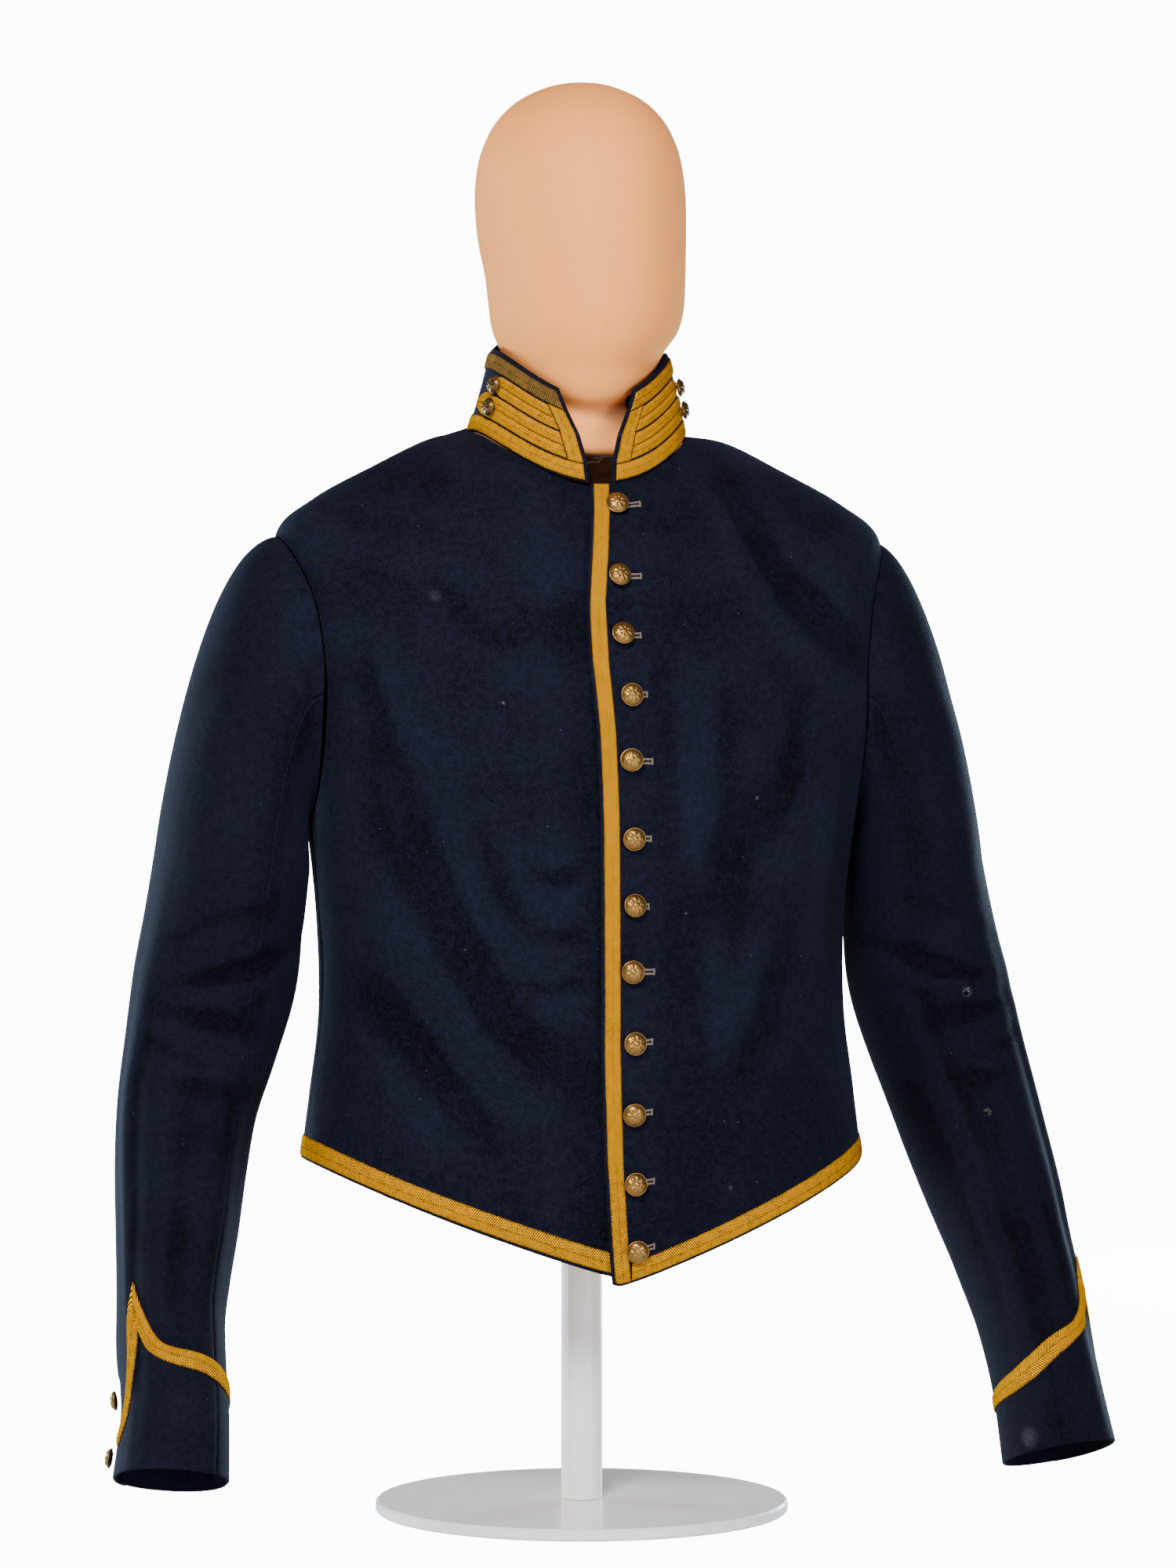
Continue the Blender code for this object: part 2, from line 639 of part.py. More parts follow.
def sleeve_grid(side, column, row, top):
    """Corner of a sleeve's cloth. Columns are counted from the rear seam, over the top and on round."""
    place = SLEEVE_ROW_PLACES[row]
    angle = sleeve_angle(column, place, top)
    out = 0.0
    if top and column < len(VENT_SHARES):
        out = VENT_LIFT * smooth_step(vent_foot() - 1.2, vent_foot() - 0.2, place) * VENT_SHARES[column]
    if angle == FRONT_SEAM:
        gap = seam_angle(side, angle, place)
        angle += -gap if top else gap
    elif top and column == 0:
        angle += seam_angle(side, angle, place)
    elif angle == REAR_SEAM:
        angle -= seam_angle(side, angle, place)
    return sleeve_point(side, angle, place, out)


def sleeve_cloth(side, angle, place, out):
    """Point over a sleeve's cloth, on the flat faces between its corners, with the normal there."""
    top = angle < FRONT_SEAM
    row = max(number for number, start in enumerate(SLEEVE_ROW_PLACES[:-1]) if start <= place)
    along = (place - SLEEVE_ROW_PLACES[row]) / (SLEEVE_ROW_PLACES[row + 1] - SLEEVE_ROW_PLACES[row])
    last = (FRONT_SEAM - TOP_START) // ARMHOLE_STEP - 1 if top else (360 // ARMHOLE_STEP) - 1
    column = max(number for number in range(last + 1)
                 if number == 0 or sleeve_angle(number, place, top) <= angle)
    start_angle = sleeve_angle(column, place, top)
    across = (angle - start_angle) / (sleeve_angle(column + 1, place, top) - start_angle)
    near = sleeve_grid(side, column, row, top), sleeve_grid(side, column + 1, row, top)
    far = sleeve_grid(side, column, row + 1, top), sleeve_grid(side, column + 1, row + 1, top)
    start = near[0].lerp(near[1], across)
    end = far[0].lerp(far[1], across)
    left, right = near[0].lerp(far[0], along), near[1].lerp(far[1], along)
    normal = (right - left).cross(end - start).normalized() * side
    return start.lerp(end, along) + normal * out, normal


def build_sleeves():
    """Each sleeve has a top and an under piece. The top piece laps over the under piece at the vent."""
    rows = len(SLEEVE_ROW_PLACES) - 1
    top_columns = (FRONT_SEAM - TOP_START) // ARMHOLE_STEP
    under_columns = (REAR_SEAM - FRONT_SEAM) // ARMHOLE_STEP
    for side, name in ((1, "left"), (-1, "right")):
        make_sheet("sleeve_top_" + name,
                   lambda column, row, side=side: sleeve_grid(side, column, row, True),
                   top_columns, rows, "navy wool", flip=side < 0)
        make_sheet("sleeve_under_" + name,
                   lambda column, row, side=side: sleeve_grid(side, top_columns + column, row, False),
                   under_columns, rows, "navy wool", flip=side < 0)


def mitred_band(route, width):
    """Lower and upper edges of a band along a flat route, mitred at its corners."""
    points = [Vector(point) for point in route]
    edges = []
    for number, point in enumerate(points):
        before = (point - points[number - 1]).normalized() if number else None
        after = (points[number + 1] - point).normalized() if number + 1 < len(points) else None
        before = before or after
        after = after or before
        normal_before = Vector((-before.y, before.x))
        normal = (normal_before + Vector((-after.y, after.x))).normalized()
        reach = width / 2 / max(normal.dot(normal_before), 0.3)
        edges.append((point - normal * reach, point + normal * reach))
    return edges


def build_cuff_lace():
    """The lace is laid out flat, round the cuff by up the sleeve, and wrapped on the sleeve."""
    cuff_radius = (ARM_SECTIONS[-2].width + ARM_SECTIONS[-2].depth) / 4
    per_degree = math.radians(1) * cuff_radius
    step = ARMHOLE_STEP / 2
    for side, name in ((1, "cuff_lace_left"), (-1, "cuff_lace_right")):
        lace = CUFF_LACES[side]
        count = round((lace[-1].angle - lace[0].angle) / step)
        angles = [lace[0].angle + step * number for number in range(count + 1)]
        route = [(angle * per_degree, table_value(lace, "angle", "height", angle)) for angle in angles]
        edges = mitred_band(route, LACE_WIDTH)

        def lace_point(column, row, side=side, edges=edges):
            flat = edges[column][1 - row]
            place = place_above_cuff(flat.y)
            return sleeve_cloth(side, flat.x / per_degree, place, CUFF_LACE_GAP)[0]

        make_sheet(name, lace_point, count, 1, "gold lace", LACE_THICKNESS, outward=True, flip=side < 0)


def collar_point(angle, share, out=0.0):
    """Point of the collar: angle 0 is centre front and 90 the left side, share 0 its foot and 1 its top."""
    band = Band(*(low + (high - low) * share for low, high in zip(COLLAR_FOOT, COLLAR_TOP)))
    turn = math.radians(angle)
    end = band.z_front if math.cos(turn) > 0 else band.z_back
    z = end + (band.z_side - end) * math.sin(turn) ** 2
    point = Vector((band.half_width * math.sin(turn), -band.middle - band.depth * math.cos(turn), z))
    if not out:
        return point
    step = 2.0
    across = collar_point(angle + step, share) - collar_point(angle - step, share)
    up = collar_point(angle, min(share + 0.1, 1)) - collar_point(angle, max(share - 0.1, 0))
    return point + across.cross(up).normalized() * out


def collar_end_angle(share, inset=0.0):
    half_width = COLLAR_FOOT.half_width + (COLLAR_TOP.half_width - COLLAR_FOOT.half_width) * share
    gap = table_value(COLLAR_ENDS, "share", "half_gap", share) + inset
    return math.degrees(math.asin(gap / half_width))


COLLAR_COLUMNS = 360 // COLLAR_STEP


def collar_angle(column, share, inset=0.0):
    """Angle of a column of the collar. The first and last columns are its ends at the front."""
    end = collar_end_angle(share, inset)
    first_whole = 27
    inner = 4
    if column < inner:
        return end + (first_whole - end) * column / inner
    if column > COLLAR_COLUMNS - inner:
        return 360 - end - (first_whole - end) * (COLLAR_COLUMNS - column) / inner
    whole = COLLAR_COLUMNS - 2 * inner
    return first_whole + (360 - 2 * first_whole) * (column - inner) / whole


def build_collar():
    shares = (0, 0.21, 0.5, 0.8, 1)
    make_sheet("collar", lambda column, row: collar_point(collar_angle(column, shares[row]), shares[row]),
               COLLAR_COLUMNS, len(shares) - 1, "navy wool")


END_STRIP = 10.6
END_INSET = 3.0


def build_collar_lace():
    """Lace round the foot and the top, up each front end, and in two pointed loops on each side."""
    out = COLLAR_LACE_GAP
    join = 0.5
    for name, span, finish in (("collar_foot_lace", FOOT_LACE, "gold lace"),
                               ("collar_top_lace", TOP_LACE, "faded lace")):
        make_sheet(name, lambda column, row, span=span: collar_point(
            collar_angle(column, span[row], END_INSET), span[row], out),
            COLLAR_COLUMNS, 1, finish, LACE_THICKNESS, outward=True)
    end_span = (FOOT_LACE[1] + 0.012, TOP_LACE[0] - 0.012)
    for side, name in ((1, "left"), (-1, "right")):

        def end_strip(column, row, side=side):
            share = end_span[0] + (end_span[1] - end_span[0]) * row / 4
            angle = collar_end_angle(share, END_INSET + END_STRIP * column / 2)
            return collar_point(side * angle, share, out)

        make_sheet("collar_end_lace_" + name, end_strip, 2, 4, "gold lace", LACE_THICKNESS, outward=True,
                   flip=side < 0)
        for level, span in (("lower", LOWER_LOOP), ("upper", UPPER_LOOP)):
            steps = 12
            point = LOOP_POINT_ANGLES[level]

            def loop_point(column, row, side=side, span=span, point=point):
                middle = (span[0] + span[1]) / 2
                half = (span[1] - span[0]) / 2
                share = middle + half * (row - 1)
                start = collar_end_angle(share, END_INSET + END_STRIP + join)
                shoulder = point - LOOP_TAPER
                taper = max(column - (steps - 2), 0)
                if taper:
                    narrow = 1 - 0.44 * taper
                    angle = shoulder + (point - 0.8 * abs(row - 1) - shoulder) * taper / 2
                    return collar_point(side * angle, middle + half * narrow * (row - 1), out)
                angle = start + (shoulder - start) * column / (steps - 2)
                return collar_point(side * angle, share, out)

            make_sheet("collar_loop_" + level + "_" + name, loop_point, steps, 2, "gold lace",
                       LACE_THICKNESS, outward=True, flip=side < 0)


BUTTON_PROFILE = ((0.0, 0.70), (0.55, 0.62), (0.9, 0.42), (1.0, 0.30), (0.34, 0.0), (0.0, 0.0))
BUTTON_STEPS = 10


def make_button(name, foot, normal, radius):
    """A domed shank button: a turned profile from the crown down its rim to a small foot."""
    mesh = bpy.data.meshes.new(name)
    points = [Vector((across * radius, 0, up * radius)) * MM for across, up in BUTTON_PROFILE]
    mesh.from_pydata(points, [(number, number + 1) for number in range(len(points) - 1)], [])
    button = add_object(name, mesh, "aged brass", smooth=False)
    turned = button.modifiers.new("turned", "SCREW")
    turned.steps = BUTTON_STEPS
    turned.render_steps = BUTTON_STEPS
    turned.use_merge_vertices = True
    turned.merge_threshold = 0.00001
    button.location = (foot + normal * BUTTON_GAP) * MM
    button.rotation_mode = "QUATERNION"
    button.rotation_quaternion = normal.to_track_quat("Z", "Y")


def level_at_height(around, height, low=0.0, high=NECK):
    """Section number whose point is at a height, found by halving."""
    for _ in range(30):
        middle = (low + high) / 2
        if body_point(around, middle).z < height:
            low = middle
        else:
            high = middle
    return low


def build_buttons():
    for number, button in enumerate(FRONT_BUTTONS, 1):
        place = front_share(button.across, 5)
        level = level_at_height(place, button.z)
        place = front_share(button.across, level)
        normal = body_normal(place, level)
        foot = body_point(place, level, front_out(1, place, level))
        make_button(f"front_button_{number:02d}", foot, normal, BUTTON_RADIUS)
    for side, name in ((1, "left"), (-1, "right")):
        for number, height in enumerate(CUFF_BUTTON_HEIGHTS, 1):
            place = place_above_cuff(height)
            foot, normal = sleeve_cloth(side, CUFF_BUTTON_ANGLE, place, 0.1)
            make_button(f"cuff_button_{name}_{number}", foot, normal, SMALL_BUTTON_RADIUS)
        for level, span in (("lower", LOWER_LOOP), ("upper", UPPER_LOOP)):
            share = (span[0] + span[1]) / 2
            over_lace = COLLAR_LACE_GAP + LACE_THICKNESS + 0.2
            foot = collar_point(side * COLLAR_BUTTON_ANGLE, share, over_lace)
            normal = (collar_point(side * COLLAR_BUTTON_ANGLE, share, over_lace + 1) - foot).normalized()
            make_button(f"collar_button_{level}_{name}", foot, normal, SMALL_BUTTON_RADIUS)


def make_wire(name, points, radius):
    """A bent wire through a few points."""
    curve = bpy.data.curves.new(name, "CURVE")
    curve.dimensions = "3D"
    curve.bevel_depth = radius * MM
    curve.bevel_resolution = 1
    curve.use_fill_caps = True
    route = curve.splines.new("POLY")
    route.points.add(len(points) - 1)
    for spot, point in zip(route.points, points):
        spot.co = (*(Vector(point) * MM), 1.0)
    curve.materials.append(make_material("black wire"))
    wire = bpy.data.objects.new(name, curve)
    jacket.objects.link(wire)


def build_hook_and_eye():
    """A black hook on the collar's left end, and the eye on its right end that it holds."""
    share = 0.27
    front = -collar_point(0, share).y - 1.0
    z = collar_point(0, share).z
    reach = table_value(COLLAR_ENDS, "share", "half_gap", share) - 1.0
    make_wire("collar_hook", ((reach, -front, z + 0.9), (-2.6, -front, z + 0.9),
                              (-3.6, -front - 1.1, z + 0.9), (-2.6, -front - 2.2, z + 0.9),
                              (-0.2, -front - 2.2, z + 0.9)), 0.55)
    make_wire("collar_eye", ((-reach, -front - 1.3, z + 3.2), (-1.0, -front - 1.3, z + 3.2),
                             (0.2, -front - 1.2, z + 2.6), (0.2, -front - 1.1, z - 0.8),
                             (-1.0, -front - 1.3, z - 1.4), (-reach, -front - 1.3, z - 1.4)), 0.45)


def head_point(section, turn):
    """Point of a neck or head section. turn is 0 at the front and 90 at the left side."""
    angle = math.radians(turn)
    ahead = math.cos(angle) > 0
    middle = (section.front - section.back) / 2
    half = (section.front + section.back) / 2
    end = section.z_front if ahead else section.z_back
    z = end + (section.z_side - end) * math.sin(angle) ** 2
    across = section.half_width * math.sin(angle) + section.aside
    return Vector((across, -middle - half * math.cos(angle), z))


def front_dip(place):
    """The form lies a little deeper near centre front, under the right front that dips there."""
    return FORM_FRONT_DIP * smooth_step(0.6, 0.2, min(place, 4 - place))


def build_form():
    """The form follows the inside of the jacket from above the hem to the neck, and then its own table."""
    foot_middle = Vector((0, 0, FORM_FOOT_HEIGHT))
    under = [[foot_middle + Vector((math.sin(turn), -math.cos(turn), 0)) * FORM_FOOT_RADIUS
              for turn in (math.tau * side / FORM_SIDES for side in range(FORM_SIDES))]]
    under.append([section_point(FORM_FOOT, 4 * side / FORM_SIDES) for side in range(FORM_SIDES)])
    for row in FORM_DEPTHS:
        under.append([body_point(place, row.level, -row.depth - front_dip(place))
                      for place in (4 * side / FORM_SIDES for side in range(FORM_SIDES))])
    rings = under + [[head_point(section, 360 * side / FORM_SIDES) for side in range(FORM_SIDES)]
                     for section in HEAD_SECTIONS]
    form = bmesh.new()
    bmesh.ops.create_uvsphere(form, u_segments=FORM_SIDES, v_segments=len(rings) + 1, radius=1.0)
    for vertex in form.verts:
        down = math.acos(max(-1.0, min(1.0, vertex.co.z)))
        ring = round((math.pi - down) / math.pi * (len(rings) + 1))
        if ring == 0:
            vertex.co = foot_middle * MM
        elif ring > len(rings):
            vertex.co = Vector((0, -CROWN[0], CROWN[1])) * MM
        else:
            turn = math.atan2(vertex.co.x, -vertex.co.y)
            side = round(turn / math.tau * FORM_SIDES) % FORM_SIDES
            vertex.co = rings[ring - 1][side] * MM
    mesh = bpy.data.meshes.new("dress_form")
    form.to_mesh(mesh)
    form.free()
    add_object("dress_form", mesh, "jersey")
    return foot_middle.z


def build_stand(form_foot):
    """A slim pole on a round base, both of lacquered steel."""
    bpy.ops.mesh.primitive_cylinder_add(vertices=48, radius=BASE_RADIUS * MM, depth=BASE_HEIGHT * MM,
                                        location=(0, 0, BASE_HEIGHT / 2 * MM))
    base = bpy.context.object
    base.name = "stand_base"
    rounding = base.modifiers.new("rounding", "BEVEL")
    rounding.width = 1.5 * MM
    rounding.segments = 1
    rounding.limit_method = "ANGLE"
    low = BASE_HEIGHT + STAND_GAP
    high = form_foot - STAND_GAP
    bpy.ops.mesh.primitive_cylinder_add(vertices=20, radius=POLE_RADIUS * MM, depth=(high - low) * MM,
                                        location=(0, 0, (low + high) / 2 * MM))
    pole = bpy.context.object
    pole.name = "stand_pole"
    for piece in (base, pole):
        piece.data.materials.append(make_material("white lacquer"))
        for collection in list(piece.users_collection):
            collection.objects.unlink(piece)
        jacket.objects.link(piece)


build_fronts()
build_back()
build_body_lace()
build_sleeves()
build_cuff_lace()
build_collar()
build_collar_lace()
build_buttons()
build_hook_and_eye()
build_stand(build_form())
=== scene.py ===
# %% [markdown]
# # A gold-laced shell jacket on its dress form
#
# The jacket is a short, tight uniform jacket of thick navy wool. It has a standing collar, a row of small
# buttons, yellow worsted lace on every edge, and pointed lace on the cuffs. It stands buttoned on a headed
# dress form covered in fine knit. The imported model already has each piece at its size and place, so this
# lesson makes the cloth thin on the same surfaces, and then gives every piece its finish.

# %% Load the imported model
import math
import bmesh
import bpy
import numpy as np
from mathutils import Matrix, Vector


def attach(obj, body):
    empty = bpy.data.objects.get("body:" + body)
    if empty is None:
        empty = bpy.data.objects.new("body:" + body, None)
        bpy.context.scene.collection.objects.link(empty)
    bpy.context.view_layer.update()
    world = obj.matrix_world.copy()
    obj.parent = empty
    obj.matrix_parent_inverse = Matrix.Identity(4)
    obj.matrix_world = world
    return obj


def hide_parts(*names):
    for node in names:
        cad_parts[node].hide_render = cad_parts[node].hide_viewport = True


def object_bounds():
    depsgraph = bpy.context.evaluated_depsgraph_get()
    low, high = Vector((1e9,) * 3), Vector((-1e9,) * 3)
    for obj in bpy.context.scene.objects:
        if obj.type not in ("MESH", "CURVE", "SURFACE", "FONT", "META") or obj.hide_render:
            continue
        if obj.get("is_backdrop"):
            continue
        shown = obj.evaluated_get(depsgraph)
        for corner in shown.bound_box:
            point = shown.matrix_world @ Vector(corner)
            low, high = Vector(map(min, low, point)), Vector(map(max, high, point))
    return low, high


MM = 0.001
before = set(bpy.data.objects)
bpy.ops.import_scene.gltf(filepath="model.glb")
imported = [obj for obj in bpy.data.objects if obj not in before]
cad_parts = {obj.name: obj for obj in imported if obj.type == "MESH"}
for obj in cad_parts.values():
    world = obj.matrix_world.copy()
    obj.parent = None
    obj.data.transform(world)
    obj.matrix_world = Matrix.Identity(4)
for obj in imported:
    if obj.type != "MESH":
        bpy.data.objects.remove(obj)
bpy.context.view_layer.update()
bpy.ops.object.select_all(action="DESELECT")
print("nodes in the packed model:", len(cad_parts))

# %% [markdown]
# ## Camera, floor and light
#
# The jacket was photographed from a little to its right, at the height of its chest, with a long lens. A
# camera on a circle round the stand, turned 12 degrees, sees it the same way. The light is a big soft key
# from the front, a weaker fill, and two cool strips behind the shoulders that draw a rim on the dark wool.

# %% Camera
CAMERA_TURN = math.radians(12)
CAMERA_DISTANCE = 3.2
CAMERA_HEIGHT = 0.493
VIEW_HEIGHT = 1.066
camera_right = Vector((math.cos(CAMERA_TURN), -math.sin(CAMERA_TURN), 0))
camera_data = bpy.data.cameras.new("camera")
camera_data.sensor_fit = "VERTICAL"
camera_data.sensor_height = 36.0
camera_data.lens = 36.0 * CAMERA_DISTANCE / VIEW_HEIGHT
camera = bpy.data.objects.new("camera", camera_data)
bpy.context.scene.collection.objects.link(camera)
camera.location = (Vector((-math.sin(CAMERA_TURN), -math.cos(CAMERA_TURN), 0)) * CAMERA_DISTANCE
                   + Vector((0, 0, CAMERA_HEIGHT)) + camera_right * 0.0043)
camera.rotation_euler = (math.pi / 2, 0, -CAMERA_TURN)
bpy.context.scene.camera = camera
print("camera stands", round(camera.location.length, 2), "m away")

# %% Floor, world and lamps
WORLD_LIGHT = 0.22
BACKDROP_LIGHT = 12.0
FLOOR_GLOW = 11.5
bpy.ops.mesh.primitive_plane_add(size=9.0, location=(0, 0, 0))
floor = bpy.context.object
floor.name = "floor"
floor_material = bpy.data.materials.new("pale floor")
floor_material.use_nodes = True
floor_shader = floor_material.node_tree.nodes["Principled BSDF"]
floor_shader.inputs["Base Color"].default_value = (0.86, 0.86, 0.86, 1)
floor_shader.inputs["Roughness"].default_value = 0.9
floor_shader.inputs["Emission Color"].default_value = (1.0, 1.0, 1.0, 1)
floor.data.materials.append(floor_material)
floor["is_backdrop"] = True
world = bpy.data.worlds.new("studio")
world.use_nodes = True
backdrop = world.node_tree.nodes["Background"]
backdrop.inputs["Color"].default_value = (1.0, 1.0, 1.0, 1)
bpy.context.scene.world = world


def brighter_when_seen(tree, socket, unseen, seen):
    """A strength that is higher where the camera looks straight at the thing."""
    look = tree.nodes.new("ShaderNodeLightPath")
    scale = tree.nodes.new("ShaderNodeMath")
    scale.operation = "MULTIPLY_ADD"
    scale.inputs[1].default_value = seen - unseen
    scale.inputs[2].default_value = unseen
    tree.links.new(look.outputs["Is Camera Ray"], scale.inputs[0])
    tree.links.new(scale.outputs[0], socket)


brighter_when_seen(world.node_tree, backdrop.inputs["Strength"], WORLD_LIGHT, BACKDROP_LIGHT)
brighter_when_seen(floor_material.node_tree, floor_shader.inputs["Emission Strength"], 0.0, FLOOR_GLOW)


def softbox(name, place, target, size, power, colour):
    """A square area lamp that faces its target."""
    lamp = bpy.data.lights.new(name, "AREA")
    lamp.size = size
    lamp.energy = power
    lamp.color = colour
    holder = bpy.data.objects.new(name, lamp)
    holder.location = place
    holder.rotation_euler = (Vector(target) - Vector(place)).to_track_quat("-Z", "Y").to_euler()
    bpy.context.scene.collection.objects.link(holder)


softbox("key", (-1.1, -2.6, 2.2), (0, 0, 0.6), 0.9, 165, (1.0, 0.98, 0.95))
softbox("fill", (1.1, -2.9, 0.3), (0, 0, 0.65), 1.2, 46, (0.98, 0.98, 1.0))
softbox("left rim", (-1.5, 1.4, 0.30), (0, 0, 0.3), 0.6, 62, (0.62, 0.80, 1.0))
softbox("right rim", (1.5, 1.4, 0.30), (0, 0, 0.3), 0.6, 62, (0.62, 0.80, 1.0))

# %% [markdown]
# ## The surface that all the body's cloth lies on
#
# A tailor fits a jacket over one form, so the fronts, the back and their lace all share one surface. It
# goes through twelve level outlines, from the hem to the neck, in millimetres. A place on it is a number
# round the body, 0 in front, 1 at the left side and 2 behind, and a number up it, 0 at the hem and 11 at the
# neck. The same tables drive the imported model, so everything lands where that has it.

# %% Tables of the body
BODY = np.array([
    # half width, front, back, middle, square, then height in front, at the side and behind, and its power
    (191, 119, 108, 0, 2.5, 164, 241, 212, 1.15),
    (185, 121, 106, 0, 2.5, 245, 287, 270, 1.5),
    (179, 122, 104, 0, 2.5, 322, 340, 332, 2.0),
    (180, 121, 107, -1, 2.6, 398, 403, 400, 2.0),
    (186, 119, 111, -2, 2.8, 468, 468, 470, 2.0),
    (195, 115, 115, -4, 3.0, 525, 545, 546, 2.0),
    (203, 109, 117, -5, 2.75, 572, 612, 612, 2.3),
    (208, 100, 116, -6, 2.25, 612, 661, 655, 2.35),
    (182, 91, 112, -9, 2.05, 642, 686, 694, 2.2),
    (141, 81, 109, -12, 2.0, 664, 708.5, 722, 2.1),
    (102, 71, 104, -15, 2.0, 681, 727.5, 744, 2.0),
    (74, 62, 98, -18, 2.0, 693, 732, 757, 2.0),
], float)
NECK = len(BODY) - 1
# level, then how far round the left front's edge and the right front's hidden edge lie from centre front
FRONT_EDGES = np.array([
    (0, -5, 17), (1, -11, 20), (2, -13, 20), (4, -13, 20), (5, -14.5, 20),
    (6, -18, 20), (7, -18, 20), (8, -14.5, 16), (9.5, -10, 12), (11, -7, 8),
], float)
ARMHOLE_MIDDLE = 5.5
ARMHOLE_HALF_HEIGHT = 1.45
ARMHOLE_FRONT_REACH = 0.25
ARMHOLE_BACK_REACH = 0.26
RIGHT_HEM_RISE = 8.0
LACE_WIDTH = 10.6
LACE_INSET = 2.2
# about how many millimetres a level rises near the hem
LEVEL_RISE = 80.0
print("body table:", BODY.shape)


# %% Number helpers
def rows_at(table, places):
    """Smooth values of a table's rows at fractional row numbers, by Catmull-Rom."""
    table = np.asarray(table, float)
    places = np.asarray(places, float)
    last = len(table) - 1
    start = np.clip(np.floor(places).astype(int), 0, last - 1)
    t = (places - start)[..., None]
    before, after = table[np.maximum(start - 1, 0)], table[np.minimum(start + 2, last)]
    return (before * (-0.5 * t + t * t - 0.5 * t ** 3) + table[start] * (1 - 2.5 * t * t + 1.5 * t ** 3)
            + table[start + 1] * (0.5 * t + 2 * t * t - 1.5 * t ** 3) + after * (-0.5 * t * t + 0.5 * t ** 3))


def ramp(low, high, value):
    t = np.clip((np.asarray(value, float) - low) / (high - low), 0, 1)
    return t * t * (3 - 2 * t)


def unit(vectors):
    return vectors / np.maximum(np.linalg.norm(vectors, axis=-1, keepdims=True), 1e-9)


def bell(distance, spread):
    return np.exp(-(np.asarray(distance, float) / spread) ** 2)


# %% Chart of the body
LEVELS = np.linspace(0, NECK, 441)
AROUNDS = np.linspace(-2.04, 2.04, 1021)


def body_ring(level):
    """One level outline of the body, and the lengths of its front and back quarters."""
    half_width, front, back, middle, square, z_front, z_side, z_back, power = rows_at(BODY, level)
    wrapped = (AROUNDS + 2) % 4 - 2
    turn = np.abs(wrapped)
    ring = np.empty((len(AROUNDS), 3))
    lengths = []
    for behind, reach, end in ((False, front - middle, z_front), (True, back + middle, z_back)):
        angle = np.linspace(0, math.pi / 2, 400)
        across = half_width * np.sin(angle) ** (2 / square)
        along = reach * np.abs(np.cos(angle)) ** (2 / square)
        length = np.concatenate(([0], np.cumsum(np.hypot(np.diff(across), np.diff(along)))))
        pick = (turn > 1) == behind
        share = np.where(turn > 1, 2 - turn, turn)[pick] * length[-1]
        x = np.interp(share, length, across)
        forward = np.interp(share, length, along)
        ring[pick, 0] = np.sign(wrapped[pick]) * x
        ring[pick, 1] = -middle + (forward if behind else -forward)
        ring[pick, 2] = end + (z_side - end) * (x / half_width) ** power
        lengths.append(length[-1])
    return ring, lengths


rings = [body_ring(level) for level in LEVELS]
BODY_CHART = np.array([ring for ring, lengths in rings])
FRONT_LENGTHS = np.array([lengths[0] for ring, lengths in rings])
BACK_LENGTHS = np.array([lengths[1] for ring, lengths in rings])
BODY_NORMALS = unit(np.cross(np.gradient(BODY_CHART, axis=1), np.gradient(BODY_CHART, axis=0)))
print("waist round:", round(2 * (FRONT_LENGTHS[80] + BACK_LENGTHS[80])), "mm")

# %% [markdown]
# ## Folds
#
# A fitted jacket on a form has few folds, and they are broad and soft, because fulled wool is thick. Each is
# laid down as a route with a depth and a width. The large ones repeat those of the imported model. The
# small ones are only in the picture: drag lines from the chest to the buttons, ripples along the closed
# edge, and the slack at the small of the back.

# %% Fold tables
# face, depth (a negative one is a trough), half width, and the route's points as (x, z)
LARGE_FOLDS = (
    ("front", -6.0, 24, ((-177, 556), (-150, 477), (-120, 415), (-80, 343), (-32, 300))),
    ("front", 3.0, 20, ((-150, 425), (-128, 375), (-100, 325), (-70, 285))),
    ("front", -4.0, 18, ((-174, 378), (-131, 322), (-90, 260))),
    ("front", -4.5, 16, ((84, 712), (115, 640), (148, 603), (176, 572))),
    ("front", -5.0, 24, ((112, 493), (76, 452), (46, 370))),
    ("front", 2.5, 16, ((62, 560), (58, 460), (66, 330))),
    ("front", -3.5, 18, ((172, 500), (166, 420), (160, 330))),
    ("front", -3.0, 26, ((-75, 612), (-40, 596), (-15, 604))),
    ("back", -5.0, 24, ((150, 540), (110, 440), (60, 340))),
    ("back", -4.0, 22, ((-158, 520), (-120, 430), (-74, 350))),
    ("back", -3.5, 20, ((-20, 640), (0, 560), (10, 480))),
)
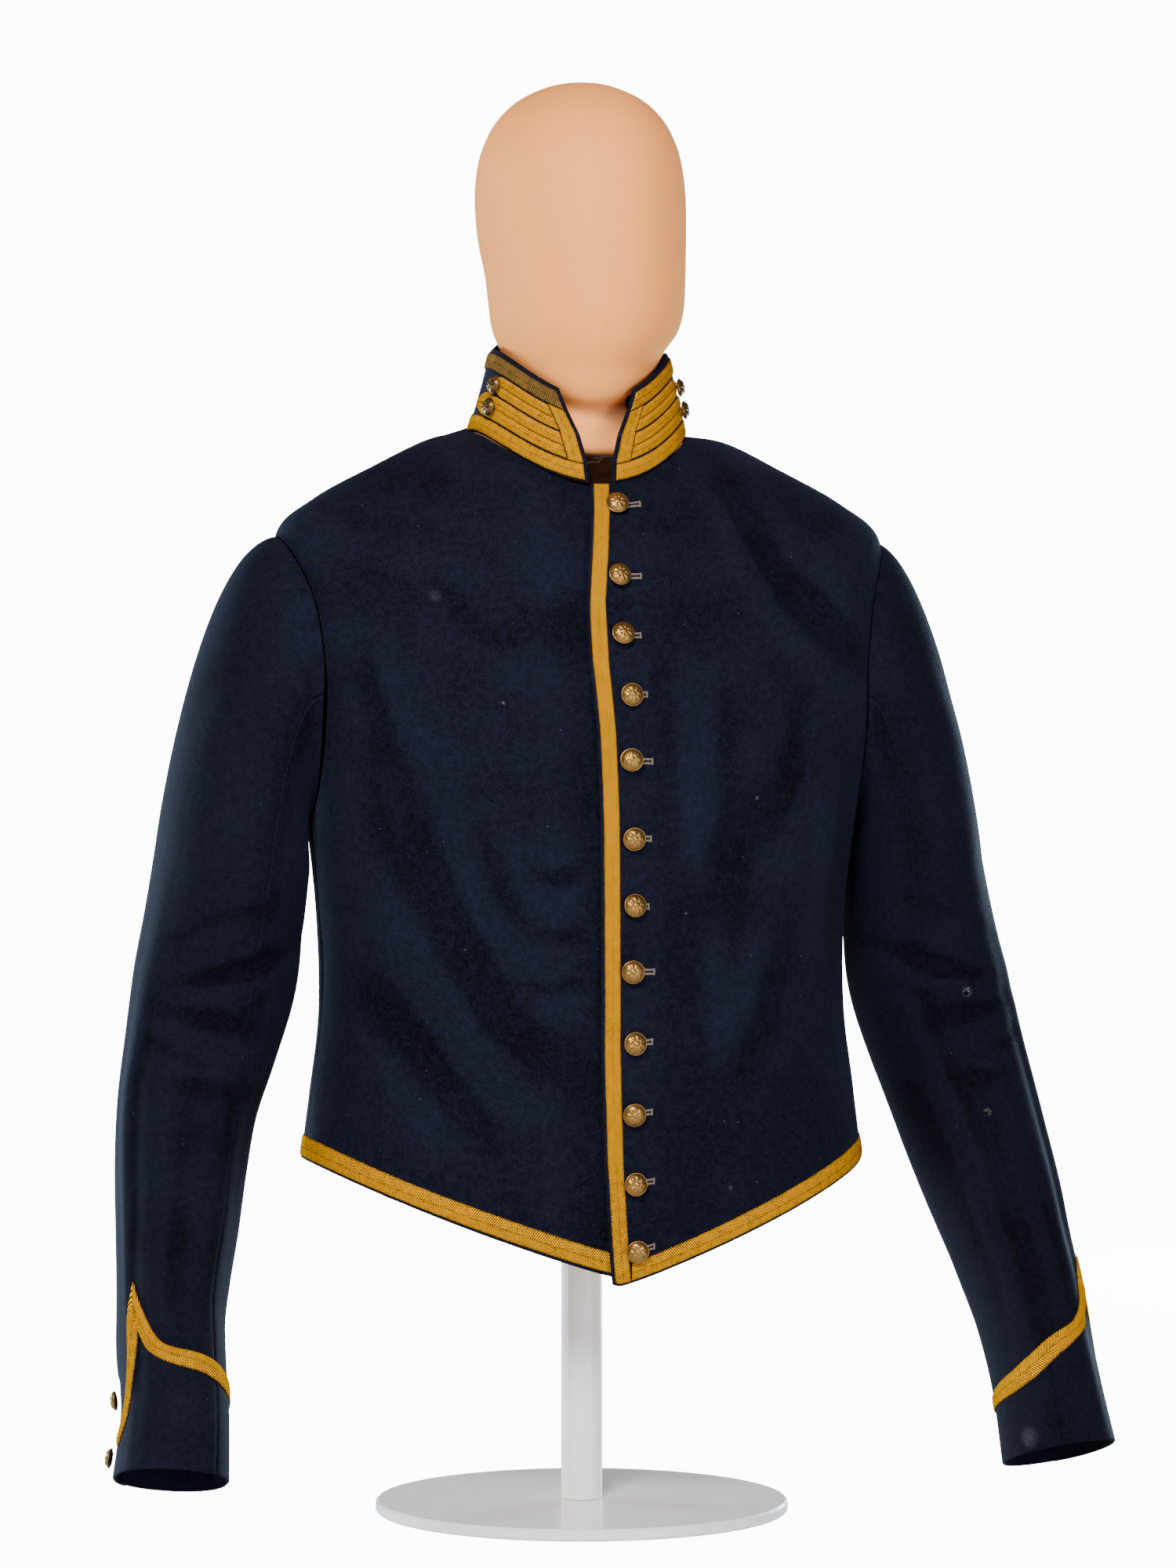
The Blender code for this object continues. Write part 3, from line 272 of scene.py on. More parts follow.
SMALL_FOLDS = (
    ("front", -1.4, 6, ((-20, 436), (-42, 430), (-66, 436))),
    ("front", 1.0, 5, ((-20, 425), (-40, 418), (-58, 420))),
    ("front", -1.2, 5, ((-20, 396), (-38, 392), (-60, 397))),
    ("front", -1.3, 6, ((-20, 366), (-44, 358), (-70, 364))),
    ("front", 0.9, 5, ((-20, 352), (-40, 344), (-60, 346))),
    ("front", -1.0, 7, ((36, 582), (30, 560), (30, 536))),
    ("front", 1.1, 8, ((45, 560), (44, 500), (50, 440))),
    ("front", -1.3, 9, ((70, 566), (74, 520), (70, 470))),
    ("front", -1.5, 9, ((88, 700), (102, 660), (120, 625), (140, 598))),
    ("front", 1.2, 8, ((76, 690), (90, 650), (108, 612))),
    ("front", -1.4, 8, ((128, 560), (120, 500), (104, 450))),
    ("front", 1.2, 9, ((150, 520), (146, 450), (138, 380))),
    ("front", -1.4, 10, ((120, 400), (104, 340), (80, 290))),
    ("front", 1.2, 10, ((100, 410), (84, 350), (60, 300))),
    ("front", -1.6, 9, ((-170, 590), (-158, 540), (-150, 500))),
    ("front", 1.4, 9, ((-160, 520), (-140, 460), (-112, 400))),
    ("front", -1.2, 8, ((-96, 470), (-76, 420), (-50, 380))),
    ("front", 1.1, 9, ((-120, 470), (-96, 410), (-60, 350))),
    ("front", -1.3, 9, ((-150, 350), (-118, 300), (-76, 256))),
    ("front", -1.0, 10, ((-120, 640), (-96, 600), (-60, 575))),
    ("front", -1.2, 7, ((-98, 702), (-110, 690), (-128, 676))),
    ("back", -1.6, 9, ((-60, 395), (0, 382), (58, 398))),
    ("back", 1.3, 8, ((-50, 372), (4, 360), (62, 374))),
    ("back", -1.5, 9, ((-66, 345), (-8, 334), (50, 342))),
    ("back", -1.4, 9, ((168, 560), (140, 500), (118, 450))),
    ("back", 1.3, 9, ((-166, 556), (-146, 500), (-120, 440))),
    ("back", -1.3, 8, ((-40, 720), (-30, 690), (-34, 660))),
    ("back", -1.2, 9, ((44, 716), (36, 680), (42, 640))),
    ("back", 1.2, 10, ((90, 640), (80, 580), (84, 520))),
)


def fold_height(points, arounds, folds, along_fade):
    """Sum of folds at an array of points of the body."""
    total = np.zeros(points.shape[:-1])
    front = np.abs((arounds + 2) % 4 - 2) <= 1
    flat = points[..., (0, 2)]
    for face, depth, half_width, route in folds:
        best = np.full(total.shape, 1e9)
        along = np.zeros(total.shape)
        for number, (start, end) in enumerate(zip(route, route[1:])):
            start, leg = np.array(start, float), np.subtract(end, start).astype(float)
            t = np.clip((flat - start) @ leg / (leg @ leg), 0, 1)
            distance = np.linalg.norm(flat - start - t[..., None] * leg, axis=-1)
            nearer = distance < best
            best = np.where(nearer, distance, best)
            along = np.where(nearer, (number + t) / (len(route) - 1), along)
        fade = along_fade + (1 - along_fade) * np.sin(math.pi * along)
        total += np.where(front == (face == "front"), depth * fade * bell(best, half_width), 0)
    return total * ramp(205, 180, np.abs(points[..., 0]))


chart_arounds = np.broadcast_to(AROUNDS, BODY_CHART.shape[:2])
large = fold_height(BODY_CHART, chart_arounds, LARGE_FOLDS, 0.35)
small = fold_height(BODY_CHART, chart_arounds, SMALL_FOLDS, 0.05)
folds = large + small
FOLDED_CHART = BODY_CHART + BODY_NORMALS * folds[..., None]
FOLDED_NORMALS = unit(np.cross(np.gradient(FOLDED_CHART, axis=1), np.gradient(FOLDED_CHART, axis=0)))
print("folds from", round(float(folds.min()), 1), "to", round(float(folds.max()), 1), "mm")


# %% Read a place off the chart
def read_chart(chart, around, level):
    """Value of a chart at places between its points."""
    column = (np.asarray(around, float) - AROUNDS[0]) / (AROUNDS[1] - AROUNDS[0])
    row = np.asarray(level, float) / LEVELS[1]
    left = np.clip(np.floor(column).astype(int), 0, len(AROUNDS) - 2)
    low = np.clip(np.floor(row).astype(int), 0, len(LEVELS) - 2)
    s, t = (column - left)[..., None], (row - low)[..., None]
    return ((chart[low, left] * (1 - s) + chart[low, left + 1] * s) * (1 - t)
            + (chart[low + 1, left] * (1 - s) + chart[low + 1, left + 1] * s) * t)


def wrap_around(around):
    return (np.asarray(around, float) + 2) % 4 - 2


def body_place(around, level, out=0.0):
    """Point of the body's cloth in millimetres, moved out by a few of them."""
    around = wrap_around(around)
    out = np.asarray(out, float)
    return (read_chart(FOLDED_CHART, around, level)
            + unit(read_chart(FOLDED_NORMALS, around, level)) * np.broadcast_to(out, around.shape)[..., None])


def quarter_length(level, behind=False):
    return np.interp(level, LEVELS, BACK_LENGTHS if behind else FRONT_LENGTHS)


print("centre front at the waist:", np.round(body_place(np.array(0.0), np.array(2.0))))

# %% [markdown]
# ## Cloth as a thin shell
#
# A sheet of cloth is a net of points laid on its surface, given a wall by a Solidify modifier. The net's
# lines crowd together near an edge, so that the edge can be rolled in a little, as a turned and pressed one
# is. Two rolled edges side by side read as a sewn seam. Each net also gets a UV map in millimetres, for
# weaves that follow the cloth. A large one gets a second value too: how far it stands out from the cloth
# round it, which the wool turns into painted light on a ridge and painted shade in a trough.


# %% Sheet helpers
def crowd(length, step, rolled=True):
    """Distances across a piece of cloth, crowded at both ends."""
    near = [0, 0.35, 0.8, 1.5, 2.6] if rolled else [0]
    count = max(int(round((length - 2 * near[-1]) / step)), 2)
    inner = np.linspace(near[-1], length - near[-1], count + 1)
    return np.concatenate((near[:-1], inner, [length - value for value in near[-2::-1]]))


def spread_out(values, reach):
    """Mean of each place of a net and those round it."""
    for axis, count in enumerate(values.shape[:2]):
        number = np.arange(count)
        half = np.minimum(np.minimum(number, count - 1 - number), reach)
        sums = np.concatenate((values.take([0], axis) * 0, np.cumsum(values, axis)), axis)
        shape = [1] * values.ndim
        shape[axis] = count
        total = sums.take(number + half + 1, axis) - sums.take(number - half, axis)
        values = total / (2 * half + 1).reshape(shape)
    return values


# how many of a net's lines the narrow and the wide mean reach
NARROW_REACH, WIDE_REACH = 7, 24
# a net with fewer rows or columns than this is too narrow to show folds
FEWEST_LINES = 20


# The value it gives is used by the wool as painted light on ridges and painted shade in troughs.
def fold_light_and_shade(points, flip):
    """How far the cloth stands out from that round it: above 0 on a ridge and below 0 in a trough."""
    normal = unit(np.cross(np.gradient(points, axis=1), np.gradient(points, axis=0)))
    stand = ((points - spread_out(points, NARROW_REACH)) * normal).sum(-1) * (-1 if flip else 1)
    return stand - spread_out(stand, WIDE_REACH)


def net_mesh(name, points, uv, flip=False, closed=False):
    """A mesh of four-sided faces from rows of points in millimetres, with a UV map in millimetres."""
    rows, columns = points.shape[:2]
    number = np.arange(rows * columns).reshape(rows, columns)
    if closed:
        number = np.concatenate((number, number[:, :1]), axis=1)
    around_face = number[:-1, :-1], number[:-1, 1:], number[1:, 1:], number[1:, :-1]
    faces = np.stack(around_face, axis=-1).reshape(-1, 4)
    if flip:
        faces = faces[:, ::-1]
    mesh = bpy.data.meshes.new(name)
    mesh.from_pydata((points.reshape(-1, 3) * MM).tolist(), [], faces.tolist())
    layer = mesh.uv_layers.new(name="lay")
    corners = np.empty(len(mesh.loops), dtype=np.int32)
    mesh.loops.foreach_get("vertex_index", corners)
    layer.data.foreach_set("uv", (uv.reshape(-1, 2)[corners]).astype(np.float32).ravel())
    # the fold attribute carries painted light and shade for the folds
    if min(rows, columns) > FEWEST_LINES and not closed:
        fold = mesh.attributes.new("fold", "FLOAT", "POINT")
        fold.data.foreach_set("value", fold_light_and_shade(points, flip).astype(np.float32).ravel())
    mesh.shade_smooth()
    return mesh


def net_uv(points):
    """Distances along the net's own lines, in millimetres."""
    across = np.linalg.norm(np.diff(points, axis=1), axis=-1)
    up = np.linalg.norm(np.diff(points, axis=0), axis=-1)
    u = np.concatenate((np.zeros((points.shape[0], 1)), np.cumsum(across, axis=1)), axis=1)
    v = np.concatenate((np.zeros((1, points.shape[1])), np.cumsum(up, axis=0)), axis=0)
    return np.stack((u, v), axis=-1)


def net_area(points):
    """Area of a net of points, in square metres."""
    a = points[1:, 1:] - points[:-1, :-1]
    b = points[1:, :-1] - points[:-1, 1:]
    return float(np.linalg.norm(np.cross(a, b), axis=-1).sum() / 2 * MM * MM)


PIECES = {}


def add_piece(name, mesh, material, node=None, wall=0.0, outward=False):
    """Link a piece, give it its wall and finish, let it ride, and hide the imported node it stands for."""
    piece = bpy.data.objects.new(name, mesh)
    bpy.context.scene.collection.objects.link(piece)
    mesh.materials.append(material)
    if wall:
        thick = piece.modifiers.new("wall", "SOLIDIFY")
        thick.thickness = wall * MM
        thick.offset = 1.0 if outward else -1.0
    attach(piece, "root")
    for one in ([node] if isinstance(node, str) else node or []):
        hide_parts(one)
    PIECES[name] = piece
    return piece


print("sheet helpers are ready")

# %% [markdown]
# ## Writing materials as sums
#
# A node tree is easier to read as a sum than as a picture. One small class stands for a socket. Adding or
# multiplying two of them adds the Math node that does so, and one method adds any other node.


# %% The socket class
class Wire:
    """An output socket of a node tree that takes part in sums."""

    def __init__(self, tree, socket):
        self.tree = tree
        self.socket = socket

    def node(self, kind, settings=None, out=0, **links):
        """Add a node, set its settings, then give its sockets values or links."""
        return add_node(self.tree, kind, settings, out, **links)

    def math(self, operation, *others, clamp=False):
        node = self.tree.nodes.new("ShaderNodeMath")
        node.operation = operation
        node.use_clamp = clamp
        for socket, value in zip(node.inputs, (self, *others)):
            plug(self.tree, socket, value)
        return Wire(self.tree, node.outputs[0])

    def __add__(self, other):
        return self.math("ADD", other)

    def __sub__(self, other):
        return self.math("SUBTRACT", other)

    def __mul__(self, other):
        return self.math("MULTIPLY", other)

    def __truediv__(self, other):
        return self.math("DIVIDE", other)

    def __rsub__(self, other):
        return self.math("MULTIPLY_ADD", -1.0, other)

    def __rtruediv__(self, other):
        return self.math("POWER", -1.0) * other

    def __pow__(self, other):
        return self.math("POWER", other)

    __radd__ = __add__
    __rmul__ = __mul__

    def ramp(self, low, high):
        """0 below low, 1 above high, and smooth between."""
        return self.node("ShaderNodeMapRange", {"interpolation_type": "SMOOTHSTEP"}, Value=self,
                         **{"From Min": low, "From Max": high, "To Min": 0.0, "To Max": 1.0})

    def mix(self, low, high):
        """A colour or value between two, by this socket."""
        node = self.tree.nodes.new("ShaderNodeMix")
        colour = not isinstance(low, (int, float)) or not isinstance(high, (int, float))
        node.data_type = "RGBA" if colour else "FLOAT"
        start = 6 if colour else 2
        plug(self.tree, node.inputs[0], self)
        plug(self.tree, node.inputs[start], low)
        plug(self.tree, node.inputs[start + 1], high)
        return Wire(self.tree, node.outputs[2 if colour else 0])


def plug(tree, socket, value):
    """Link a wire to a socket, or set the socket's own value."""
    if isinstance(value, Wire):
        tree.links.new(value.socket, socket)
    elif isinstance(value, tuple) and socket.type == "RGBA" and len(value) == 3:
        socket.default_value = (*value, 1.0)
    else:
        socket.default_value = value


def add_node(tree, kind, settings=None, out=0, **links):
    node = tree.nodes.new(kind)
    for name, value in (settings or {}).items():
        setattr(node, name, value)
    for name, value in links.items():
        plug(tree, node.inputs[name], value)
    return Wire(tree, node.outputs[out])


class Finish:
    """A material with its shader, and the sockets that patterns read."""

    def __init__(self, name, **constants):
        self.material = bpy.data.materials.new(name)
        self.material.use_nodes = True
        self.tree = self.material.node_tree
        self.shader = self.tree.nodes["Principled BSDF"]
        for socket, value in constants.items():
            plug(self.tree, self.shader.inputs[socket.replace("_", " ")], value)

    def node(self, kind, settings=None, out=0, **links):
        return add_node(self.tree, kind, settings, out, **links)

    def place(self):
        return self.node("ShaderNodeTexCoord", out=3)

    def split(self, vector):
        """The three parts of a vector."""
        parts = self.tree.nodes.new("ShaderNodeSeparateXYZ")
        plug(self.tree, parts.inputs[0], vector)
        return [Wire(self.tree, socket) for socket in parts.outputs]

    def lay(self):
        """The piece's own map, split into across and along, in millimetres."""
        return self.split(self.node("ShaderNodeUVMap", {"uv_map": "lay"}))[:2]

    def noise(self, scale, detail=2.0, rough=0.5, vector=None):
        return self.node("ShaderNodeTexNoise", Vector=vector or self.place(), Scale=scale, Detail=detail,
                         Roughness=rough)

    def spot(self, centre, radius, soft=0.4):
        """1 inside a small round spot at a point given in metres, fading to 0 outside it."""
        distance = self.node("ShaderNodeVectorMath", {"operation": "DISTANCE"}, out=1)
        node = distance.socket.node
        plug(self.tree, node.inputs[0], self.place())
        node.inputs[1].default_value = centre
        return 1 - distance.ramp(radius * (1 - soft), radius * (1 + soft))

    def bump(self, height, strength, distance):
        bump = self.node("ShaderNodeBump", Height=height, Strength=strength, Distance=distance)
        plug(self.tree, self.shader.inputs["Normal"], bump)

    def colour(self, value):
        plug(self.tree, self.shader.inputs["Base Color"], value)

    def rough(self, value):
        plug(self.tree, self.shader.inputs["Roughness"], value)


print("sums of sockets are ready")

# %% [markdown]
# ## Navy wool
#
# The cloth is broadcloth, fulled until its weave has gone. Close up it is a short felted nap, mottled in tone
# every millimetre or two, with specks of pale lint. The sheen lobe gives the soft bright edge that nap has at
# a shallow angle. Years of wear have left it a little paler in cloudy patches. Moths have left a few holes
# with crumbs of pale lint beside them, and the left cuff is rubbed. The sleeves and the left front get painted
# shade, so the tone is a little deeper there, and the folds get painted light on their ridges and painted
# shade in their troughs.

# %% Marks on the wool
# a place in metres, and the hole's radius
MOTH_HOLES = (
    (0.2577, -0.0471, 0.3504, 0.0016), (0.2671, -0.0637, 0.2696, 0.0013), (-0.0768, -0.1109, 0.5442, 0.0007),
    (-0.1410, -0.0850, 0.4300, 0.0009),
)
# a place in metres, the spot's radius, and how strongly it shows
RUBBED_SPOTS = (
    (0.2666, -0.1611, 0.0632, 0.0060, 0.28), (-0.1170, -0.0888, 0.6165, 0.0035, 0.16),
    (0.0958, -0.1086, 0.4837, 0.0011, 0.7), (0.0761, -0.1150, 0.2268, 0.0012, 0.6),
    (0.0450, -0.1180, 0.4080, 0.0008, 0.7), (0.1020, -0.1060, 0.4360, 0.0007, 0.7),
)
# where the painted shade starts and is full, in metres across, and how deep it is
LEFT_FRONT_EDGE, LEFT_FRONT_SHADE = (0.02, 0.10), 0.10
LEFT_SLEEVE_EDGE, LEFT_SLEEVE_SHADE = (0.175, 0.225), 0.30
RIGHT_SLEEVE_EDGE, RIGHT_SLEEVE_SHADE = (-0.235, -0.185), 0.26
print("marks:", len(MOTH_HOLES) + len(RUBBED_SPOTS))

# %% Wool finish
wool = Finish("navy wool", Roughness=0.88, Sheen_Weight=0.055, Sheen_Roughness=0.30,
              Sheen_Tint=(0.42, 0.58, 1.0), Specular_IOR_Level=0.06)
nap = wool.noise(900.0, 3.0, 0.6)
felt = wool.noise(2600.0, 2.0, 0.6)
cloud = wool.noise(14.0, 3.0, 0.55)
streak = wool.noise(230.0, 3.0, 0.6)
fleck = wool.node("ShaderNodeTexVoronoi", {"feature": "F1"}, Vector=wool.place(), Scale=210.0, Randomness=1.0)
chosen = wool.node("ShaderNodeTexVoronoi", {"feature": "F1"}, out=1, Vector=wool.place(), Scale=210.0,
                   Randomness=1.0)
red = wool.tree.nodes.new("ShaderNodeSeparateColor")
wool.tree.links.new(chosen.socket, red.inputs[0])
lint = (1 - fleck.ramp(0.05, 0.12)) * Wire(wool.tree, red.outputs[0]).ramp(0.955, 0.97)
fold = wool.node("ShaderNodeAttribute", {"attribute_name": "fold"}, out=2)
tone = nap.ramp(0.36, 0.64) * 0.6 + streak.ramp(0.34, 0.68) * 0.4
deep, lit = (0.0005, 0.0006, 0.0024), (0.0112, 0.0130, 0.0305)
# painted light on fold ridges and painted shade in fold troughs
painted_fold_shade = fold.ramp(-0.75, 0.75)
wool_colour = (tone * 0.50 + cloud.ramp(0.35, 0.75) * 0.18 + painted_fold_shade * 0.30 - 0.12).mix(deep, lit)
wool_colour = (lint * 0.5).mix(wool_colour, (0.11, 0.13, 0.19))
crumb = wool.noise(1900.0, 2.0, 0.7)
aside = wool.split(wool.place())[0]
# painted shade: the left front and both sleeves are darkened by their distance across
painted_shade = (aside.ramp(*LEFT_FRONT_EDGE) * LEFT_FRONT_SHADE + aside.ramp(*LEFT_SLEEVE_EDGE) * LEFT_SLEEVE_SHADE
       + (1 - aside.ramp(*RIGHT_SLEEVE_EDGE)) * RIGHT_SLEEVE_SHADE)
wool_colour = painted_shade.mix(wool_colour, (0.0, 0.0, 0.0))
for x, y, z, size in MOTH_HOLES:
    crumbs = wool.spot((x + 0.0008, y, z + 0.0012), size * 1.9, 0.5) * crumb.ramp(0.56, 0.63)
    wool_colour = crumbs.mix(wool_colour, (0.30, 0.29, 0.27))
    wool_colour = wool.spot((x, y, z), size, 0.35).mix(wool_colour, (0.0003, 0.0003, 0.0005))
for x, y, z, size, strength in RUBBED_SPOTS:
    rub = wool.spot((x, y, z), size, 0.6) * crumb.ramp(0.40, 0.62) * strength
    wool_colour = rub.mix(wool_colour, (0.13, 0.14, 0.18))
wool.colour(wool_colour)
wool.rough(cloud.mix(0.82, 0.94))
wool.bump(nap * 0.5 + felt * 0.3 + streak * 0.4, 0.75, 0.0009)
print("wool nodes:", len(wool.tree.nodes))

# %% [markdown]
# ## Gold-yellow lace
#
# The lace is a flat tape of yellow worsted, about 11 mm wide, woven in herringbone: yarns slant up from both
# edges and meet along the middle. Across the tape the slant is a shift of the pattern, so a stripe in
# (along - slope * distance from the middle) gives every yarn, and a second, finer stripe gives its twist. The
# gaps are darker and more orange than the yarns. The collar's top row has faded to tan on its right half, so
# that finish has a fresh yarn as well, which takes over on the left.


# %% Lace finish
def lace_finish(name, yarn, gap, dust, wear, fresh=None):
    lace = Finish(name, Roughness=0.85, Sheen_Weight=0.01, Sheen_Roughness=0.5, Sheen_Tint=(1.0, 0.60, 0.0),
                  Specular_IOR_Level=0.0)
    across, along = lace.lay()
    wobble = lace.noise(420.0, 2.0, 0.5)
    side = across.math("ABSOLUTE")
    slant = (along + side * 0.9 + wobble * 0.55) / 1.45
    ridge = (slant * math.tau).math("SINE") * 0.5 + 0.5
    step = slant.math("FLOOR") * 0.5
    pick = ((side - along * 0.25 + step * 1.3) / 1.9 * math.tau).math("SINE") * 0.5 + 0.5
    fine = ((along * 1.1 + across * 2.3 + wobble) / 0.42 * math.tau).math("SINE") * 0.5 + 0.5
    height = ridge * 0.64 + pick * 0.26 + fine * 0.10
    fuzz = lace.noise(3200.0, 2.0, 0.7)
    patch = lace.noise(55.0, 3.0, 0.6)
    lump = lace.noise(240.0, 3.0, 0.65)
    pits = lace.noise(820.0, 2.0, 0.6).ramp(0.60, 0.72)
    middle = 1 - side.ramp(0.0, 0.7)
    edge = side.ramp(4.1, 5.2)
    mass = height.ramp(0.26, 0.66) * 0.72 + fuzz * 0.14 + lump.ramp(0.3, 0.7) * 0.22
    mass = mass - middle * 0.30 - edge * 0.30 - pits * 0.55
    body = mass.ramp(0.05, 0.95).mix(gap, yarn)
    worn = patch.ramp(0.42, 0.72) * wear
    colour = (fuzz.ramp(0.60, 0.78) * 0.35).mix(worn.mix(body, dust), yarn)
    if fresh:
        left = lace.split(lace.place())[0].ramp(-0.004, 0.012)
        colour = left.mix(colour, (mass + fuzz * 0.3 - 0.15).ramp(0.05, 0.95).mix(gap, fresh))
    lace.colour(colour)
    lace.bump(height + fuzz * 0.35 - pits * 0.5, 1.0, 0.0007)
    return lace


gold_lace = lace_finish("gold lace", (1.0, 0.43, 0.0), (0.035, 0.009, 0.0), (0.60, 0.23, 0.0), 0.30)
faded_lace = lace_finish("faded lace", (0.27, 0.150, 0.042), (0.020, 0.010, 0.004), (0.36, 0.185, 0.030), 0.6,
                         (0.85, 0.35, 0.0))
print("lace nodes:", len(gold_lace.tree.nodes))

# %% [markdown]
# ## Panels of the body
#
# Two fronts and a back are cut. A front runs from its own edge to the side seam, round the armhole, and on to
# the shoulder seam. The left one laps over the right, and its edge stands a few millimetres proud. The rows
# of a panel are level lines of the surface, and each row is laid from edge to seam.


# %% Lines of a panel
def armhole_place(angle, behind):
    """Place of the armhole's edge at an angle from its top, in degrees."""
    turn = np.radians(angle)
    reach = ARMHOLE_BACK_REACH if behind else ARMHOLE_FRONT_REACH
    side = 1 if behind else -1
    return 1 + side * reach * np.abs(np.sin(turn)), ARMHOLE_MIDDLE + ARMHOLE_HALF_HEIGHT * np.cos(turn)


armhole_foot = ARMHOLE_MIDDLE - ARMHOLE_HALF_HEIGHT
armhole_top = ARMHOLE_MIDDLE + ARMHOLE_HALF_HEIGHT
PANEL_LEVELS = np.concatenate((
    [0, 0.006, 0.014, 0.026, 0.045], np.linspace(0.08, armhole_foot, 88)[:-1],
    ARMHOLE_MIDDLE - ARMHOLE_HALF_HEIGHT * np.cos(np.radians(np.linspace(0, 180, 62))),
    np.linspace(armhole_top, NECK, 52)[1:]))


def side_end(level, behind):
    """Where a row ends: at the side seam, the armhole or the shoulder seam."""
    inside = 1 - ((level - ARMHOLE_MIDDLE) / ARMHOLE_HALF_HEIGHT) ** 2
    reach = ARMHOLE_BACK_REACH if behind else ARMHOLE_FRONT_REACH
    return 1 + (1 if behind else -1) * reach * np.sqrt(np.maximum(inside, 0))


def front_lift(side, place, level):
    """The left front's edge stands off, and the right front dips where it passes under."""
    across = place * quarter_length(level)
    if side > 0:
        lift = 0.3 + 2.7 * ramp(NECK, NECK - 3, level)
        return lift * (1 - ramp(-8, 62, across))
    return -2.7 * (1 - ramp(8, 52, across))


def hem_rise(side, place, level):
    """The right front hangs a little higher at the hem, as shown where its point passes under."""
    if side > 0:
        return 0.0
    return RIGHT_HEM_RISE / LEVEL_RISE * ramp(0.75, 0.1, place) * ramp(0.8, 0.15, level)


def seam_roll(distance):
    """How far an edge is rolled in, by the distance from it."""
    return -0.85 * bell(distance, 0.95)


print("rows in a panel:", len(PANEL_LEVELS))


# %% Fronts
def edge_across(side, level):
    return np.interp(level, FRONT_EDGES[:, 0], FRONT_EDGES[:, 1] if side > 0 else -FRONT_EDGES[:, 2])


def front_net(side):
    """Net of a front, from its edge to its seam."""
    longest = 0
    rows = []
    for level in PANEL_LEVELS:
        edge = float(edge_across(side, level))
        length = float(side_end(level, False) * quarter_length(level)) - edge
        longest = max(longest, length)
        rows.append((level, edge, length))
    steps = crowd(longest, 3.2)
    shares = steps / longest
    points = []
    for level, edge, length in rows:
        distances = shares * length
        for near in range(5):
            distances[near] = steps[near]
            distances[-1 - near] = length - steps[near]
        place = (edge + distances) / quarter_length(level)
        at = level + hem_rise(side, place, level)
        roll = seam_roll(distances) + seam_roll(length - distances) + seam_roll(level * LEVEL_RISE)
        out = front_lift(side, place, at) + roll
        points.append(body_place(side * place, at, out))
    return np.array(points)


for side, name in ((1, "front_left"), (-1, "front_right")):
    net = front_net(side)
    add_piece(name + "_cloth", net_mesh(name, net, net_uv(net), flip=side < 0), wool.material, name,
              wall=1.8)
    print(name, net.shape[:2], "area", round(net_area(net), 4), "m2")


# %% Back
def back_net():
    points = []
    steps = crowd(480.0, 3.4)
    for level in PANEL_LEVELS:
        start = float(side_end(level, True))
        length = (4 - 2 * start) * float(quarter_length(level, True))
        distances = steps / steps[-1] * length
        for near in range(5):
            distances[near] = steps[near]
            distances[-1 - near] = length - steps[near]
        place = start + (4 - 2 * start) * distances / length
        roll = seam_roll(distances) + seam_roll(length - distances) + seam_roll(level * LEVEL_RISE)
        points.append(body_place(place, np.full(place.shape, level), roll))
    return np.array(points)


net = back_net()
add_piece("back_cloth", net_mesh("back", net, net_uv(net)), wool.material, "back", wall=1.8)
print("back", net.shape[:2], "area", round(net_area(net), 4), "m2")

# %% [markdown]
# ## Sleeves
#
# Each sleeve is cut in two, a wide top piece and a narrow under piece, and its shape is already bent at the
# elbow. The top of each springs out of the armhole and turns down, and from there on the sleeve follows
# twelve ovals along the arm. An angle of 0 is its outer side, 90 its front and 270 its back. Near the cuff
# the top piece laps over the under piece in a short buttoned opening.

# %% Tables of the sleeve
ARM = np.array([
    # outward, forward, height, width, depth, and how much slimmer the left sleeve is on its outer side
    (238, -10, 440, 103, 142, 9),
    (243, -14, 400, 106, 134, 6),
    (249, -16, 360, 109, 126, 3),
    (258, -12, 320, 103, 120, 1),
    (268, -3, 280, 95, 114, 0),
    (275, 18, 242, 89, 108, 0),
    (281, 45, 204, 82, 102, 0),
    (286, 64, 172, 75, 97, 0),
    (290, 83, 143, 70, 94, 0),
    (291, 106, 112, 67, 91, 0),
    (292, 122, 86, 68, 91, 0),
    (296, 134, 48, 73, 93, 0),
], float)
CUFF = len(ARM)
SLEEVE_SQUARE = 2.2
SLEEVE_HEADS = {1: (0.42, 0.16), -1: (0.56, 0.04)}
UNDERARM_SPRING = 24
FRONT_SEAM = 105
REAR_SEAM = 300
TOP_START = REAR_SEAM - 360
VENT_LENGTH = 80
VENT_OVERLAP = math.degrees(11 / 42)
# how far a sleeve's lower part hangs turned to the front, in degrees, and where the turn begins and ends
SLEEVE_TURNS = {1: 0, -1: 25}
SLEEVE_TURN_SPAN = (2.2, 5.4)
VENT_LIFT = 3.1
SEAM_GAP = 0.5
# depth, angle, its spread, height, its spread, slant
LARGE_CREASES = (
    (-3.5, 105, 45, 372, 9, 0.30), (-2.5, 80, 40, 338, 8, -0.25), (2.0, 95, 45, 355, 8, 0.10),
    (1.8, 22, 11, 300, 120, 0.0), (-1.8, 160, 24, 250, 70, 0.0), (-2.0, 250, 30, 330, 30, 0.2),
)
